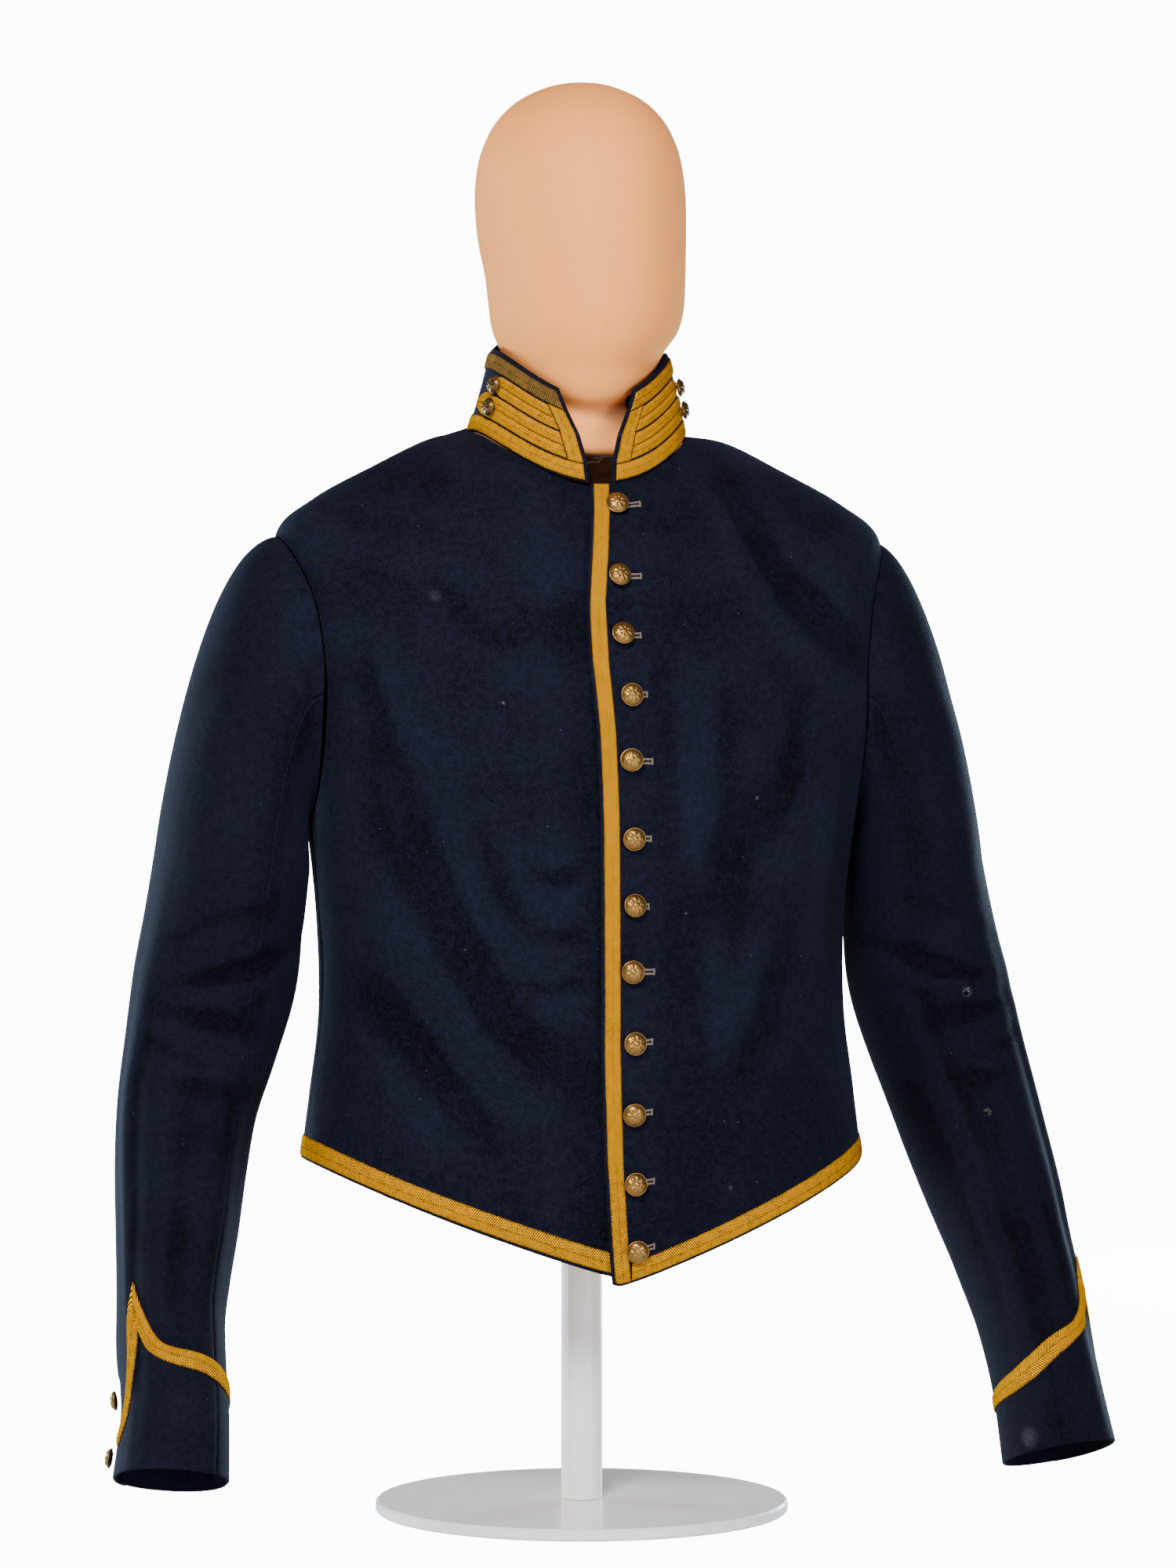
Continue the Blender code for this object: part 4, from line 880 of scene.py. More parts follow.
# the same, with the side that has it: 1 left, -1 right, 0 both
SMALL_CREASES = (
    (0, -1.3, 70, 26, 402, 6, 0.45), (0, 0.9, 85, 30, 414, 6, 0.35), (0, -1.2, 120, 30, 352, 6, 0.20),
    (0, -1.1, 60, 24, 318, 6, -0.35), (0, 0.9, 75, 26, 306, 6, -0.25), (0, -0.9, 100, 26, 292, 6, -0.1),
    (0, 1.5, 30, 5, 240, 130, 0.0), (0, -1.1, 41, 7, 240, 130, 0.0), (0, -1.0, 14, 7, 290, 110, 0.0),
    (1, 1.4, 128, 7, 250, 80, 0.0), (1, -1.4, 146, 8, 220, 90, 0.0), (1, 1.1, 84, 7, 220, 70, 0.0),
    (1, -1.0, 70, 7, 190, 60, 0.0), (-1, 1.2, 132, 8, 260, 80, 0.0), (-1, -1.2, 152, 8, 250, 90, 0.0),
    (-1, -1.1, 84, 9, 210, 50, 0.0), (-1, 0.9, 68, 8, 180, 60, 0.0),
    (0, -1.2, 240, 24, 300, 10, 0.4), (0, 1.0, 255, 24, 285, 9, 0.35), (0, -1.2, 262, 26, 268, 9, 0.3),
    (0, -1.0, 215, 22, 402, 26, 0.2), (0, 0.9, 284, 10, 420, 60, 0.0), (0, -1.0, 268, 10, 440, 60, 0.0),
    (-1, 1.3, 330, 12, 470, 60, 0.1), (1, -1.1, 342, 12, 450, 70, 0.1),
    (0, -0.9, 30, 16, 560, 20, 0.6), (0, 0.8, 52, 16, 540, 22, 0.6),
)
print("sleeve table:", ARM.shape)


# %% Sleeve surface
def arm_frame(place):
    """Middle of a sleeve's oval, and its outward, forward and downward directions."""
    arm = rows_at(ARM, place)
    low = rows_at(ARM, np.maximum(place - 0.1, 0))
    high = rows_at(ARM, np.minimum(place + 0.1, CUFF - 1))
    flip = np.array([1, -1, 1])
    down = unit((high - low)[..., :3] * flip)
    outward = np.array([1.0, 0, 0]) - down * down[..., :1]
    outward = unit(outward)
    return arm, arm[..., :3] * flip, outward, np.cross(down, outward), down


def oval_point(side, place, angle):
    arm, middle, outward, forward, down = arm_frame(place)
    turn = np.radians(angle)
    power = 2 / SLEEVE_SQUARE
    slim = arm[..., 5] if side > 0 else 0.0
    across = np.sign(np.cos(turn)) * np.abs(np.cos(turn)) ** power * (arm[..., 3] - slim) / 2 - slim / 2
    along = np.sign(np.sin(turn)) * np.abs(np.sin(turn)) ** power * arm[..., 4] / 2
    return middle + outward * across[..., None] + forward * along[..., None]


def armhole_edge(angle):
    """Place of the left armhole's edge on the body at a signed angle."""
    behind = np.sin(np.radians(angle)) < 0
    front_place, level = armhole_place(angle, False)
    back_place, level = armhole_place(angle, True)
    return np.where(behind, back_place, front_place), level


def sleeve_surface(side, angle, place):
    """The sleeve's surface at +X. Place runs from 0 at the armhole to 1 below it, and on to the cuff."""
    angle, place = np.broadcast_arrays(np.asarray(angle, float), np.asarray(place, float))
    arm = oval_point(side, np.maximum(place - 1, 0), angle)
    turn = np.radians(angle)
    start = read_chart(FOLDED_CHART, *armhole_edge(angle))
    start = start + np.stack((SEAM_GAP * (0.5 - 0.5 * np.cos(turn)), 0 * turn, 0 * turn), axis=-1)
    end = oval_point(side, np.zeros(angle.shape), angle)
    chord = np.linalg.norm(end - start, axis=-1, keepdims=True)
    spring, fall = SLEEVE_HEADS[side]
    leave = unit(np.stack((np.ones(angle.shape), -0.28 * np.sin(turn), -fall * (1 + np.cos(turn))), axis=-1))
    leave = leave * np.maximum(chord * spring, UNDERARM_SPRING)
    arrive = arm_frame(np.zeros(angle.shape))[4] * chord
    t = np.clip(place, 0, 1)[..., None]
    head = (start * (2 * t ** 3 - 3 * t * t + 1) + leave * (t ** 3 - 2 * t * t + t)
            + end * (3 * t * t - 2 * t ** 3) + arrive * (t ** 3 - t * t))
    return np.where((place >= 1)[..., None], arm, head)


def crease_height(side, angle, z, place):
    total = np.zeros(angle.shape)
    for depth, middle, spread, height, rise_spread, slant in LARGE_CREASES:
        turn = (angle - middle + 180) % 360 - 180
        total += depth * bell(turn, spread) * bell(z - height - slant * turn, rise_spread)
    for only, depth, middle, spread, height, rise_spread, slant in SMALL_CREASES:
        if only in (0, side):
            turn = (angle - middle + 180) % 360 - 180
            total += depth * bell(turn, spread) * bell(z - height - slant * turn, rise_spread)
    return total * ramp(0, 0.6, place)


def sleeve_turn(side, place):
    """How far the seams and the cuff are carried round to the front at a place."""
    return SLEEVE_TURNS[side] * ramp(*SLEEVE_TURN_SPAN, place)


def sleeve_place(side, angle, place, out=0.0):
    """Point of a sleeve in millimetres, moved out. The right one is mirrored."""
    angle, place = np.broadcast_arrays(np.asarray(angle, float), np.asarray(place, float))
    angle = angle + sleeve_turn(side, place)
    point = sleeve_surface(side, angle, place)
    round_it = sleeve_surface(side, angle + 3, place) - sleeve_surface(side, angle - 3, place)
    along = (sleeve_surface(side, angle, np.minimum(place + 0.04, CUFF))
             - sleeve_surface(side, angle, np.maximum(place - 0.04, 0)))
    normal = unit(np.cross(round_it, along))
    pucker = 0.35 * np.sin(np.radians(angle) * 23) * bell(place, 0.10) * ramp(0, 0.03, place)
    height = crease_height(side, angle, point[..., 2], place) + pucker + np.asarray(out, float)
    point = point + normal * np.broadcast_to(height, angle.shape)[..., None]
    return point * np.array([side, 1, 1])


cuff_places = np.linspace(CUFF, CUFF - 6, 61)
cuff_middles = arm_frame(cuff_places - 1)[1]
cuff_lengths = np.concatenate(([0], np.cumsum(np.linalg.norm(np.diff(cuff_middles, axis=0), axis=-1))))


def place_above_cuff(height):
    return np.interp(height, cuff_lengths, cuff_places)


VENT_FOOT = float(place_above_cuff(VENT_LENGTH))
print("the opening ends at place", round(VENT_FOOT, 2))


# %% The flap of the cuff's opening
def flap_shift(place):
    """How far the top piece's rear edge is carried over the under piece, in degrees."""
    return VENT_OVERLAP * ramp(VENT_FOOT - 0.05, VENT_FOOT + 0.12, place)


def flap_lift(angle, place):
    """How far the top piece stands off where it laps over the under piece."""
    shift = flap_shift(place)
    column = (angle - TOP_START + shift) / (15 + shift / 5)
    column = np.where(column < 5, column, (angle - TOP_START) / 15)
    share = np.interp(column, (0, 1, 2, 3, 4), (1, 0.8, 0.4, 0.1, 0))
    return VENT_LIFT * ramp(VENT_FOOT - 1.2, VENT_FOOT - 0.2, place) * share


def sleeve_cloth(side, angle, place, out):
    """Point over a sleeve's cloth, with the flap's lift on the top piece."""
    angle, place = np.broadcast_arrays(np.asarray(angle, float), np.asarray(place, float))
    lift = np.where(angle < FRONT_SEAM, flap_lift(angle, place), 0.0)
    return sleeve_place(side, angle, place, out + lift)


SLEEVE_PLACES = np.concatenate((
    [0, 0.004, 0.010, 0.020], np.linspace(0.035, 1, 52), np.linspace(1, CUFF, 136)[1:-3],
    [CUFF - 0.07, CUFF - 0.04, CUFF - 0.018, CUFF]))
CUFF_RADIUS = (ARM[-2, 3] + ARM[-2, 4]) / 4
PER_DEGREE = math.radians(1) * CUFF_RADIUS


TOP_WIDTH, UNDER_WIDTH = 150.0, 125.0


def sleeve_net(side, top):
    """Net of a sleeve's top or under piece, from seam to seam and from the armhole to the cuff."""
    width = TOP_WIDTH if top else UNDER_WIDTH
    wanted = crowd(width, 3.0)
    shares = wanted / width
    points = []
    for place in SLEEVE_PLACES:
        start = TOP_START - float(flap_shift(place)) if top else FRONT_SEAM
        end = FRONT_SEAM if top else REAR_SEAM
        angles = start + (end - start) * shares
        place_row = np.full(angles.shape, place)
        middle = sleeve_surface(side, angles + sleeve_turn(side, place), place_row)
        steps = np.concatenate(([0], np.cumsum(np.linalg.norm(np.diff(middle, axis=0), axis=-1))))
        exact = shares * steps[-1]
        for near in range(5):
            exact[near] = wanted[near]
            exact[-1 - near] = steps[-1] - wanted[near]
        angles = np.interp(exact, steps, angles)
        roll = seam_roll(exact) + seam_roll(steps[-1] - exact) + seam_roll(place * 170)
        roll = roll + seam_roll((CUFF - place) * 38)
        if top:
            points.append(sleeve_place(side, angles, place_row, roll + flap_lift(angles, place_row)))
        else:
            points.append(sleeve_place(side, angles, place_row, roll))
    return np.array(points)


for side, name in ((1, "left"), (-1, "right")):
    for top, part in ((True, "sleeve_top_"), (False, "sleeve_under_")):
        net = sleeve_net(side, top)
        mesh = net_mesh(part + name, net, net_uv(net), flip=side < 0)
        add_piece(part + name + "_cloth", mesh, wool.material, part + name, wall=1.8)
        print(part + name, net.shape[:2], "area", round(net_area(net), 4), "m2")

# %% [markdown]
# ## Collar
#
# The collar stands up from the neck seam and leans in. Its front ends are cut away in a V that a hook and
# eye close at the foot. Angle 0 is the middle of the front, and the share runs from 0 at the foot to 1 at
# the top.

# %% Collar surface
COLLAR_FOOT = np.array([74, 80, -18, 693.6, 732.6, 757.6])
COLLAR_TOP = np.array([60.5, 61, -9, 752, 788, 812])
COLLAR_ENDS = np.array([(0, 7.5), (0.25, 8.5), (0.54, 13), (0.81, 21), (1, 25.5)])


def collar_surface(angle, share):
    angle, share = np.broadcast_arrays(np.asarray(angle, float), np.asarray(share, float))
    half_width, depth, middle, z_front, z_side, z_back = (
        COLLAR_FOOT + (COLLAR_TOP - COLLAR_FOOT) * share[..., None])[..., :].transpose(-1, *range(share.ndim))
    turn = np.radians(angle)
    end = np.where(np.cos(turn) > 0, z_front, z_back)
    z = end + (z_side - end) * np.sin(turn) ** 2
    return np.stack((half_width * np.sin(turn), -middle - depth * np.cos(turn), z), axis=-1)


def collar_place(angle, share, out=0.0):
    angle, share = np.broadcast_arrays(np.asarray(angle, float), np.asarray(share, float))
    across = collar_surface(angle + 2, share) - collar_surface(angle - 2, share)
    up = collar_surface(angle, np.minimum(share + 0.1, 1)) - collar_surface(angle, np.maximum(share - 0.1, 0))
    normal = unit(np.cross(across, up))
    wave = 0.5 * np.sin(np.radians(angle) * 5 + 1.0) * np.sin(share * math.pi) * ramp(18, 40, np.abs(
        (angle + 180) % 360 - 180))
    out = np.broadcast_to(np.asarray(out, float), angle.shape) + wave
    return collar_surface(angle, share) + normal * out[..., None]


def collar_end(share, inset=0.0):
    """Angle of the collar's front end, or of a line inset from it by some millimetres."""
    half_width = COLLAR_FOOT[0] + (COLLAR_TOP[0] - COLLAR_FOOT[0]) * share
    gap = np.interp(share, COLLAR_ENDS[:, 0], COLLAR_ENDS[:, 1]) + inset
    return np.degrees(np.arcsin(gap / half_width))


# %% Collar cloth
COLLAR_LENGTH, COLLAR_HEIGHT = 440.0, 60.0
collar_shares = crowd(COLLAR_HEIGHT, 2.6) / COLLAR_HEIGHT
fine = crowd(COLLAR_LENGTH, 3.0) / COLLAR_LENGTH
distance = fine * COLLAR_LENGTH
collar_rows = []
for share in collar_shares:
    end = float(collar_end(share))
    angles = end + (360 - 2 * end) * fine
    roll = (seam_roll(distance) + seam_roll(COLLAR_LENGTH - distance) + seam_roll(share * COLLAR_HEIGHT)
            + seam_roll((1 - share) * COLLAR_HEIGHT))
    collar_rows.append(collar_place(angles, share, roll))
net = np.array(collar_rows)
add_piece("collar_cloth", net_mesh("collar", net, net_uv(net)), wool.material, "collar", wall=1.8)
print("collar", net.shape[:2], "area", round(net_area(net), 4), "m2")

# %% [markdown]
# ## Laying the lace
#
# Lace is a tape laid on the cloth and sewn down along both edges. Each run is a net of two rows of points
# along its edges, filled between them, lifted in the middle and pressed down at the edges. Its outline is
# slightly scalloped, because the filling yarn turns back there. The map follows the run in millimetres, so
# the herringbone does too.


# %% Tape helper
TAPE_STEP = 1.25
TAPE_PROFILE = np.array([(0.0, 0.02), (0.05, 0.50), (0.16, 0.78), (0.34, 0.86), (0.5, 0.80), (0.66, 0.86),
                         (0.84, 0.78), (0.95, 0.50), (1.0, 0.02)])
tape_random = np.random.default_rng(7)


def resample(line, step):
    """Even shares along a line of points, about a step apart."""
    length = np.concatenate(([0], np.cumsum(np.linalg.norm(np.diff(line, axis=0), axis=-1))))
    count = max(int(length[-1] / step), 2)
    return np.interp(np.linspace(0, length[-1], count + 1), length, np.linspace(0, 1, len(line))), length[-1]


def lay_tape(name, surface, node, finish, width=LACE_WIDTH, base=0.25, flip=False, offset=0.0,
             square_ends=True):
    """surface(t, s, out) gives points along a run, t and s from 0 to 1, s across it."""
    probe = np.linspace(0, 1, 400)
    share, length = resample(surface(probe, np.full(400, 0.5), 0.0), TAPE_STEP)
    run = np.linspace(0, length, len(share))
    rows = []
    uvs = []
    for column, (s, lift) in enumerate(TAPE_PROFILE):
        shift = 0.0
        if column in (0, len(TAPE_PROFILE) - 1):
            shift = 0.016 * np.where(np.arange(len(share)) % 2, 1, -1) * (1 if column else -1)
            shift = shift + tape_random.normal(0, 0.006, len(share))
        ends = np.ones(len(share))
        if square_ends:
            ends = 1 - 0.85 * (bell(run, 0.7) + bell(length - run, 0.7))
        wave = 0.10 * np.sin(run / 9.0 + column * 0.4) + 0.08 * np.sin(run / 23.0)
        across = np.full(len(share), s) + shift
        rows.append(surface(share, across, base + (lift + wave * lift) * ends))
        uvs.append(np.stack(((across - 0.5) * width, run + offset), axis=-1))
    net = np.array(rows)
    mesh = net_mesh(name, net, np.array(uvs), flip=flip)
    piece = add_piece(name + "_tape", mesh, finish.material, node, wall=0.35)
    print(name, "run", round(length), "mm")
    return piece


# %% Lace of the fronts and the hem
def hem_levels(around, height):
    """Level of the place that lies some millimetres above the hem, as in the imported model."""
    probe = 0.2
    around = np.asarray(around, float)
    low = read_chart(BODY_CHART, wrap_around(around), np.zeros(around.shape))
    high = read_chart(BODY_CHART, wrap_around(around), np.full(around.shape, probe))
    return height * probe / np.linalg.norm(high - low, axis=-1)


def edge_lace(t, s, out):
    bottom = float(hem_levels(np.array(0.0), LACE_INSET))
    level = bottom + (NECK - 0.03 - bottom) * t
    across = edge_across(1, level) + LACE_INSET + LACE_WIDTH * s
    place = across / quarter_length(level)
    return body_place(place, level, out + front_lift(1, place, level))


def hem_lace(side):
    start = LACE_INSET + LACE_WIDTH if side > 0 else 13.0

    def surface(t, s, out):
        edge = float(edge_across(side, 0.05)) + start + 0.4
        first = edge / float(quarter_length(0.1))
        place = first + (1 - 0.002 - first) * t
        level = hem_levels(place, LACE_INSET + LACE_WIDTH * s)
        level = level + hem_rise(side, place, level)
        return body_place(side * place, level, out + front_lift(side, place, level))

    return surface


def back_hem_lace(t, s, out):
    place = 1.002 + (3.998 - 1.002 - 1.0) * t
    return body_place(place, hem_levels(place, LACE_INSET + LACE_WIDTH * s), out)


lay_tape("edge_lace_left", edge_lace, "edge_lace_left", gold_lace, flip=True)
lay_tape("hem_lace_left", hem_lace(1), "hem_lace_left", gold_lace)
lay_tape("hem_lace_right", hem_lace(-1), "hem_lace_right", gold_lace, flip=True)
lay_tape("hem_lace_back", back_hem_lace, "hem_lace_back", gold_lace)


# %% Pointed lace of the cuffs
# the angle of each cuff's point, then the lace's height above the edge by the angle
CUFF_LACES = {
    1: (30.0, np.array([
        (-30, 20), (-15, 28), (-7.5, 33), (0, 40), (7.5, 50), (15, 64), (22.5, 86), (30, 112), (37.5, 95),
        (45, 83), (52.5, 75), (67.5, 65), (90, 56), (120, 47), (150, 43), (205, 42), (240, 42), (277.5, 42)],
        float)),
    -1: (15.0, np.array([
        (-30, 22), (-22.5, 27), (-15, 34), (-7.5, 43), (0, 57), (7.5, 78), (15, 104), (22.5, 87), (30, 75),
        (37.5, 68), (52.5, 62), (67.5, 59), (90, 57), (120, 54), (150, 52), (205, 49), (240, 47),
        (277.5, 44)], float)),
}


def mitred_edges(side):
    """Lower and upper edge of the cuff's lace on the flat: round the cuff by up the sleeve."""
    apex, lace = CUFF_LACES[side]
    angles = np.unique(np.concatenate((np.linspace(-30, apex, 25), np.linspace(apex, 277.5, 71))))
    route = np.stack((angles * PER_DEGREE, np.interp(angles, lace[:, 0], lace[:, 1])), axis=-1)
    smooth = route.copy()
    for _ in range(6):
        inner = (smooth[:-2] + smooth[2:]) / 2
        keep = np.abs(angles[1:-1] - apex) < 0.1
        smooth[1:-1] = np.where(keep[:, None], smooth[1:-1], smooth[1:-1] * 0.5 + inner * 0.5)
    leg = unit(np.diff(smooth, axis=0))
    before = np.concatenate((leg[:1], leg))
    after = np.concatenate((leg, leg[-1:]))
    normal_before = np.stack((-before[:, 1], before[:, 0]), axis=-1)
    normal_after = np.stack((-after[:, 1], after[:, 0]), axis=-1)
    normal = unit(normal_before + normal_after)
    reach = LACE_WIDTH / 2 / np.maximum((normal * normal_before).sum(-1), 0.3)
    return smooth - normal * reach[:, None], smooth + normal * reach[:, None]


def cuff_lace(side):
    cuff_low, cuff_high = mitred_edges(side)

    def surface(t, s, out):
        run = t * (len(cuff_low) - 1)
        numbers = np.arange(len(cuff_low))
        low = np.stack([np.interp(run, numbers, cuff_low[:, axis]) for axis in (0, 1)], axis=-1)
        high = np.stack([np.interp(run, numbers, cuff_high[:, axis]) for axis in (0, 1)], axis=-1)
        flat = low + (high - low) * np.asarray(s)[..., None]
        return sleeve_cloth(side, flat[..., 0] / PER_DEGREE, place_above_cuff(flat[..., 1]), out)

    return surface


for side, name in ((1, "cuff_lace_left"), (-1, "cuff_lace_right")):
    lay_tape(name, cuff_lace(side), name, gold_lace, base=0.45, flip=side > 0)


# %% Lace of the collar
FOOT_SPAN, LOWER_SPAN, UPPER_SPAN, TOP_SPAN = (0.02, 0.205), (0.225, 0.495), (0.515, 0.745), (0.765, 0.945)
END_INSET = 3.0
END_STRIP = 10.6
LOOP_POINTS = {"lower": 91.0, "upper": 77.0}
LOOP_TAPER = 15.0


def round_collar(span):
    def surface(t, s, out):
        share = span[0] + (span[1] - span[0]) * np.asarray(s, float)
        share = np.broadcast_to(share, np.shape(t))
        end = collar_end(share, END_INSET)
        return collar_place(end + (360 - 2 * end) * np.asarray(t), share, np.asarray(out) + 0.25)

    return surface


def end_strip(side):
    def surface(t, s, out):
        share = 0.212 + (0.758 - 0.212) * np.asarray(t, float)
        angle = collar_end(share, END_INSET) + (
            collar_end(share, END_INSET + END_STRIP - 0.4) - collar_end(share, END_INSET)) * np.asarray(s)
        return collar_place(side * angle, share, np.asarray(out) + 0.25)

    return surface


def loop_strip(side, span, upper, point):
    """One of the two strips of a false buttonhole. Both taper to its point behind the button."""
    middle = (span[0] + span[1]) / 2

    def surface(t, s, out):
        t, s = np.asarray(t, float), np.broadcast_to(np.asarray(s, float), np.shape(t))
        near, far = (middle + 0.003, span[1]) if upper else (span[0], middle - 0.003)
        start = collar_end(middle, END_INSET + END_STRIP)
        squeeze = 0.88 * np.clip((start + (point - start) * t - point + LOOP_TAPER) / LOOP_TAPER, 0, 1) ** 1.3
        near = near + (middle - near) * squeeze
        far = far + (middle - far) * squeeze
        share = near + (far - near) * s
        start = collar_end(share, END_INSET + END_STRIP)
        return collar_place(side * (start + (point - start) * t), share, np.asarray(out) + 0.25)

    return surface


lay_tape("collar_foot_lace", round_collar(FOOT_SPAN), "collar_foot_lace", gold_lace)
lay_tape("collar_top_lace", round_collar(TOP_SPAN), "collar_top_lace", faded_lace)
for side, name in ((1, "left"), (-1, "right")):
    lay_tape("collar_end_lace_" + name, end_strip(side), "collar_end_lace_" + name, gold_lace,
             flip=side > 0)
    for level, span in (("lower", LOWER_SPAN), ("upper", UPPER_SPAN)):
        node = f"collar_loop_{level}_{name}"
        point = LOOP_POINTS[level]
        lay_tape(node, loop_strip(side, span, False, point), node, gold_lace, width=8.2,
                 flip=side < 0, offset=13.0)
        lay_tape(node + "_over", loop_strip(side, span, True, point), node, gold_lace, width=8.2,
                 flip=side < 0, offset=37.0)

# %% [markdown]
# ## Dress form
#
# The form is a padded shell without arms, with a plain egg-shaped head that has no face. Fine flesh-coloured
# knit is drawn over it. Under the jacket it follows the inside of the cloth, and above the collar it has its
# own table of ovals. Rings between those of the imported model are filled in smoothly.

# %% Tables of the form
HEAD = np.array([
    # half width, reach forward, reach back, height in front, beside and behind, and its lean to the left
    (56, 44, 80, 699, 735, 763, 0), (38, 29, 62, 712, 745, 778, 0), (32.5, 27, 53, 733, 753, 790, 0),
    (34, 29, 53, 744, 760, 799, 0), (43, 43, 56, 750, 768, 809, 1), (50.5, 50, 60, 758, 777, 817, 1),
    (56, 57, 66, 771, 788, 825, 1), (63, 67, 75, 786, 801, 833, 3), (66, 76, 85, 806, 817, 843, 4),
    (67.5, 81, 93, 832, 839, 854, 3.5), (70, 84, 98, 862, 863, 868, 1.5), (71, 85, 101, 888, 888, 888, 0.5),
    (69.5, 82, 98, 909, 909, 909, 0), (65.5, 75, 91, 926, 926, 926, 0), (57, 63, 78, 943, 943, 943, 0),
    (43, 44, 57, 957, 957, 957, 0), (23, 21, 33, 966.5, 966.5, 966.5, 0)], float)
FORM_DEPTHS = np.array([(1.2, 26), (2, 15), (3, 12), (4, 11), (5, 12), (6, 12), (6.6, 11), (7.2, 8),
                        (8, 5.0), (9, 4.4), (10, 4.2), (11, 4.6)])
FORM_FOOT = np.array([141, 94, 86, 0, 2.3, 188, 218, 208, 1.3])
FORM_SIDES = 96


def foot_ring(turns):
    """The form's lower edge, drawn as the body's rings are."""
    half_width, front, back, middle, square, z_front, z_side, z_back, power = FORM_FOOT
    wrapped = wrap_around(turns)
    ring = []
    for turn in wrapped:
        behind = abs(turn) > 1
        reach, end = (back, z_back) if behind else (front, z_front)
        angle = np.linspace(0, math.pi / 2, 200)
        across = half_width * np.sin(angle) ** (2 / square)
        along = reach * np.abs(np.cos(angle)) ** (2 / square)
        length = np.concatenate(([0], np.cumsum(np.hypot(np.diff(across), np.diff(along)))))
        share = (2 - abs(turn) if behind else abs(turn)) * length[-1]
        x = np.interp(share, length, across)
        y = np.interp(share, length, along)
        z = end + (z_side - end) * (x / half_width) ** power
        ring.append((math.copysign(x, turn), y if behind else -y, z))
    return np.array(ring)


def head_ring(section, turns):
    half_width, front, back, z_front, z_side, z_back, aside = section
    angle = turns * math.pi / 2
    middle, half = (front - back) / 2, (front + back) / 2
    end = np.where(np.cos(angle) > 0, z_front, z_back)
    z = end + (z_side - end) * np.sin(angle) ** 2
    return np.stack((half_width * np.sin(angle) + aside, -middle - half * np.cos(angle), z), axis=-1)


# %% Form
form_turns = np.arange(FORM_SIDES) * 4 / FORM_SIDES
angle = form_turns * math.pi / 2
form_rings = [np.stack((3 * np.sin(angle), -3 * np.cos(angle), 0 * angle + 206), axis=-1),
              np.stack((30 * np.sin(angle), -30 * np.cos(angle), 0 * angle + 206), axis=-1),
              foot_ring(form_turns)]
for level, depth in FORM_DEPTHS:
    dip = 3 * ramp(0.6, 0.2, np.minimum(form_turns, 4 - form_turns))
    points = read_chart(BODY_CHART, wrap_around(form_turns), np.full(FORM_SIDES, level))
    normals = read_chart(BODY_NORMALS, wrap_around(form_turns), np.full(FORM_SIDES, level))
    fold = fold_height(points, form_turns, LARGE_FOLDS, 0.35)
    form_rings.append(points + normals * (fold - depth - dip)[:, None])
form_rings += [head_ring(section, form_turns) for section in HEAD]
form_rings.append(np.stack((6 * np.sin(angle), 5 - 7 * np.cos(angle), 0 * angle + 969.6), axis=-1))
form_table = np.array(form_rings).reshape(len(form_rings), -1)
places = np.concatenate(([0, 1, 1.94], np.linspace(2, 3, 5), np.linspace(3, len(form_rings) - 1, 116)[1:]))
form_net = rows_at(form_table, places).reshape(len(places), FORM_SIDES, 3)
form_uv = net_uv(np.concatenate((form_net, form_net[:, :1]), axis=1))[:, :-1]
form_mesh = net_mesh("dress_form", form_net, form_uv, closed=True)
shape = bmesh.new()
shape.from_mesh(form_mesh)
bmesh.ops.holes_fill(shape, edges=[edge for edge in shape.edges if edge.is_boundary], sides=0)
bmesh.ops.recalc_face_normals(shape, faces=shape.faces)
shape.to_mesh(form_mesh)
shape.free()
form_mesh.shade_smooth()
print("form:", len(form_mesh.polygons), "faces")

# %% [markdown]
# ## Knit of the form
#
# The knit is fine, with about one wale to a millimetre. The ribs run up the form and each is a chain of small
# loops, so a wave across, times a weaker wave along, gives the stitch. Its colour is almost even. The part
# that the jacket covers, and the foot of the neck in the collar's V, is painted near black as painted shade,
# so that no seam lets a bright line through. A little light is added to the front of the neck, where the white
# of a studio floor would shine up under the chin.

# %% Knit finish
knit = Finish("jersey", Roughness=0.90, Sheen_Weight=0.015, Sheen_Roughness=0.5, Sheen_Tint=(1.0, 0.65, 0.45),
              Specular_IOR_Level=0.02)
knit_across, knit_along = knit.lay()
knit_wobble = knit.noise(300.0, 2.0, 0.5)
wale = ((knit_across + knit_wobble * 0.5) / 1.05 * math.tau).math("SINE") * 0.5 + 0.5
course = ((knit_along + wale * 0.5) / 0.8 * math.tau).math("SINE") * 0.5 + 0.5
stitch = wale * 0.6 + course * 0.4
grain = knit.noise(1500.0, 2.0, 0.6)
blush = knit.noise(9.0, 2.0, 0.5)
yarns = (stitch * 0.6 + grain * 0.25 + blush * 0.3).ramp(0.1, 1.0)
flesh = yarns.mix((0.95, 0.312, 0.072), (1.0, 0.398, 0.108))
depth, height = knit.split(knit.place())[1:]
# painted shade: near black on the form from about 0.24 m up to the collar, under the jacket
shade = (1 - (height - (depth + 0.03) * 0.33).ramp(0.713, 0.720)) * height.ramp(0.232, 0.240)
knit.colour((shade * 0.985).mix(flesh, (0.0006, 0.0006, 0.0010)))
glow = (1 - height.ramp(0.741, 0.751)) * height.ramp(0.716, 0.726) * depth.ramp(-0.046, -0.036)
plug(knit.tree, knit.shader.inputs["Emission Color"], glow.mix((0.0, 0.0, 0.0), (0.26, 0.120, 0.060)))
knit.shader.inputs["Emission Strength"].default_value = 1.0
knit.bump(stitch + grain * 0.4, 0.30, 0.0003)
form_piece = add_piece("dress_form_knit", form_mesh, knit.material, "dress_form")
print("knit nodes:", len(knit.tree.nodes))
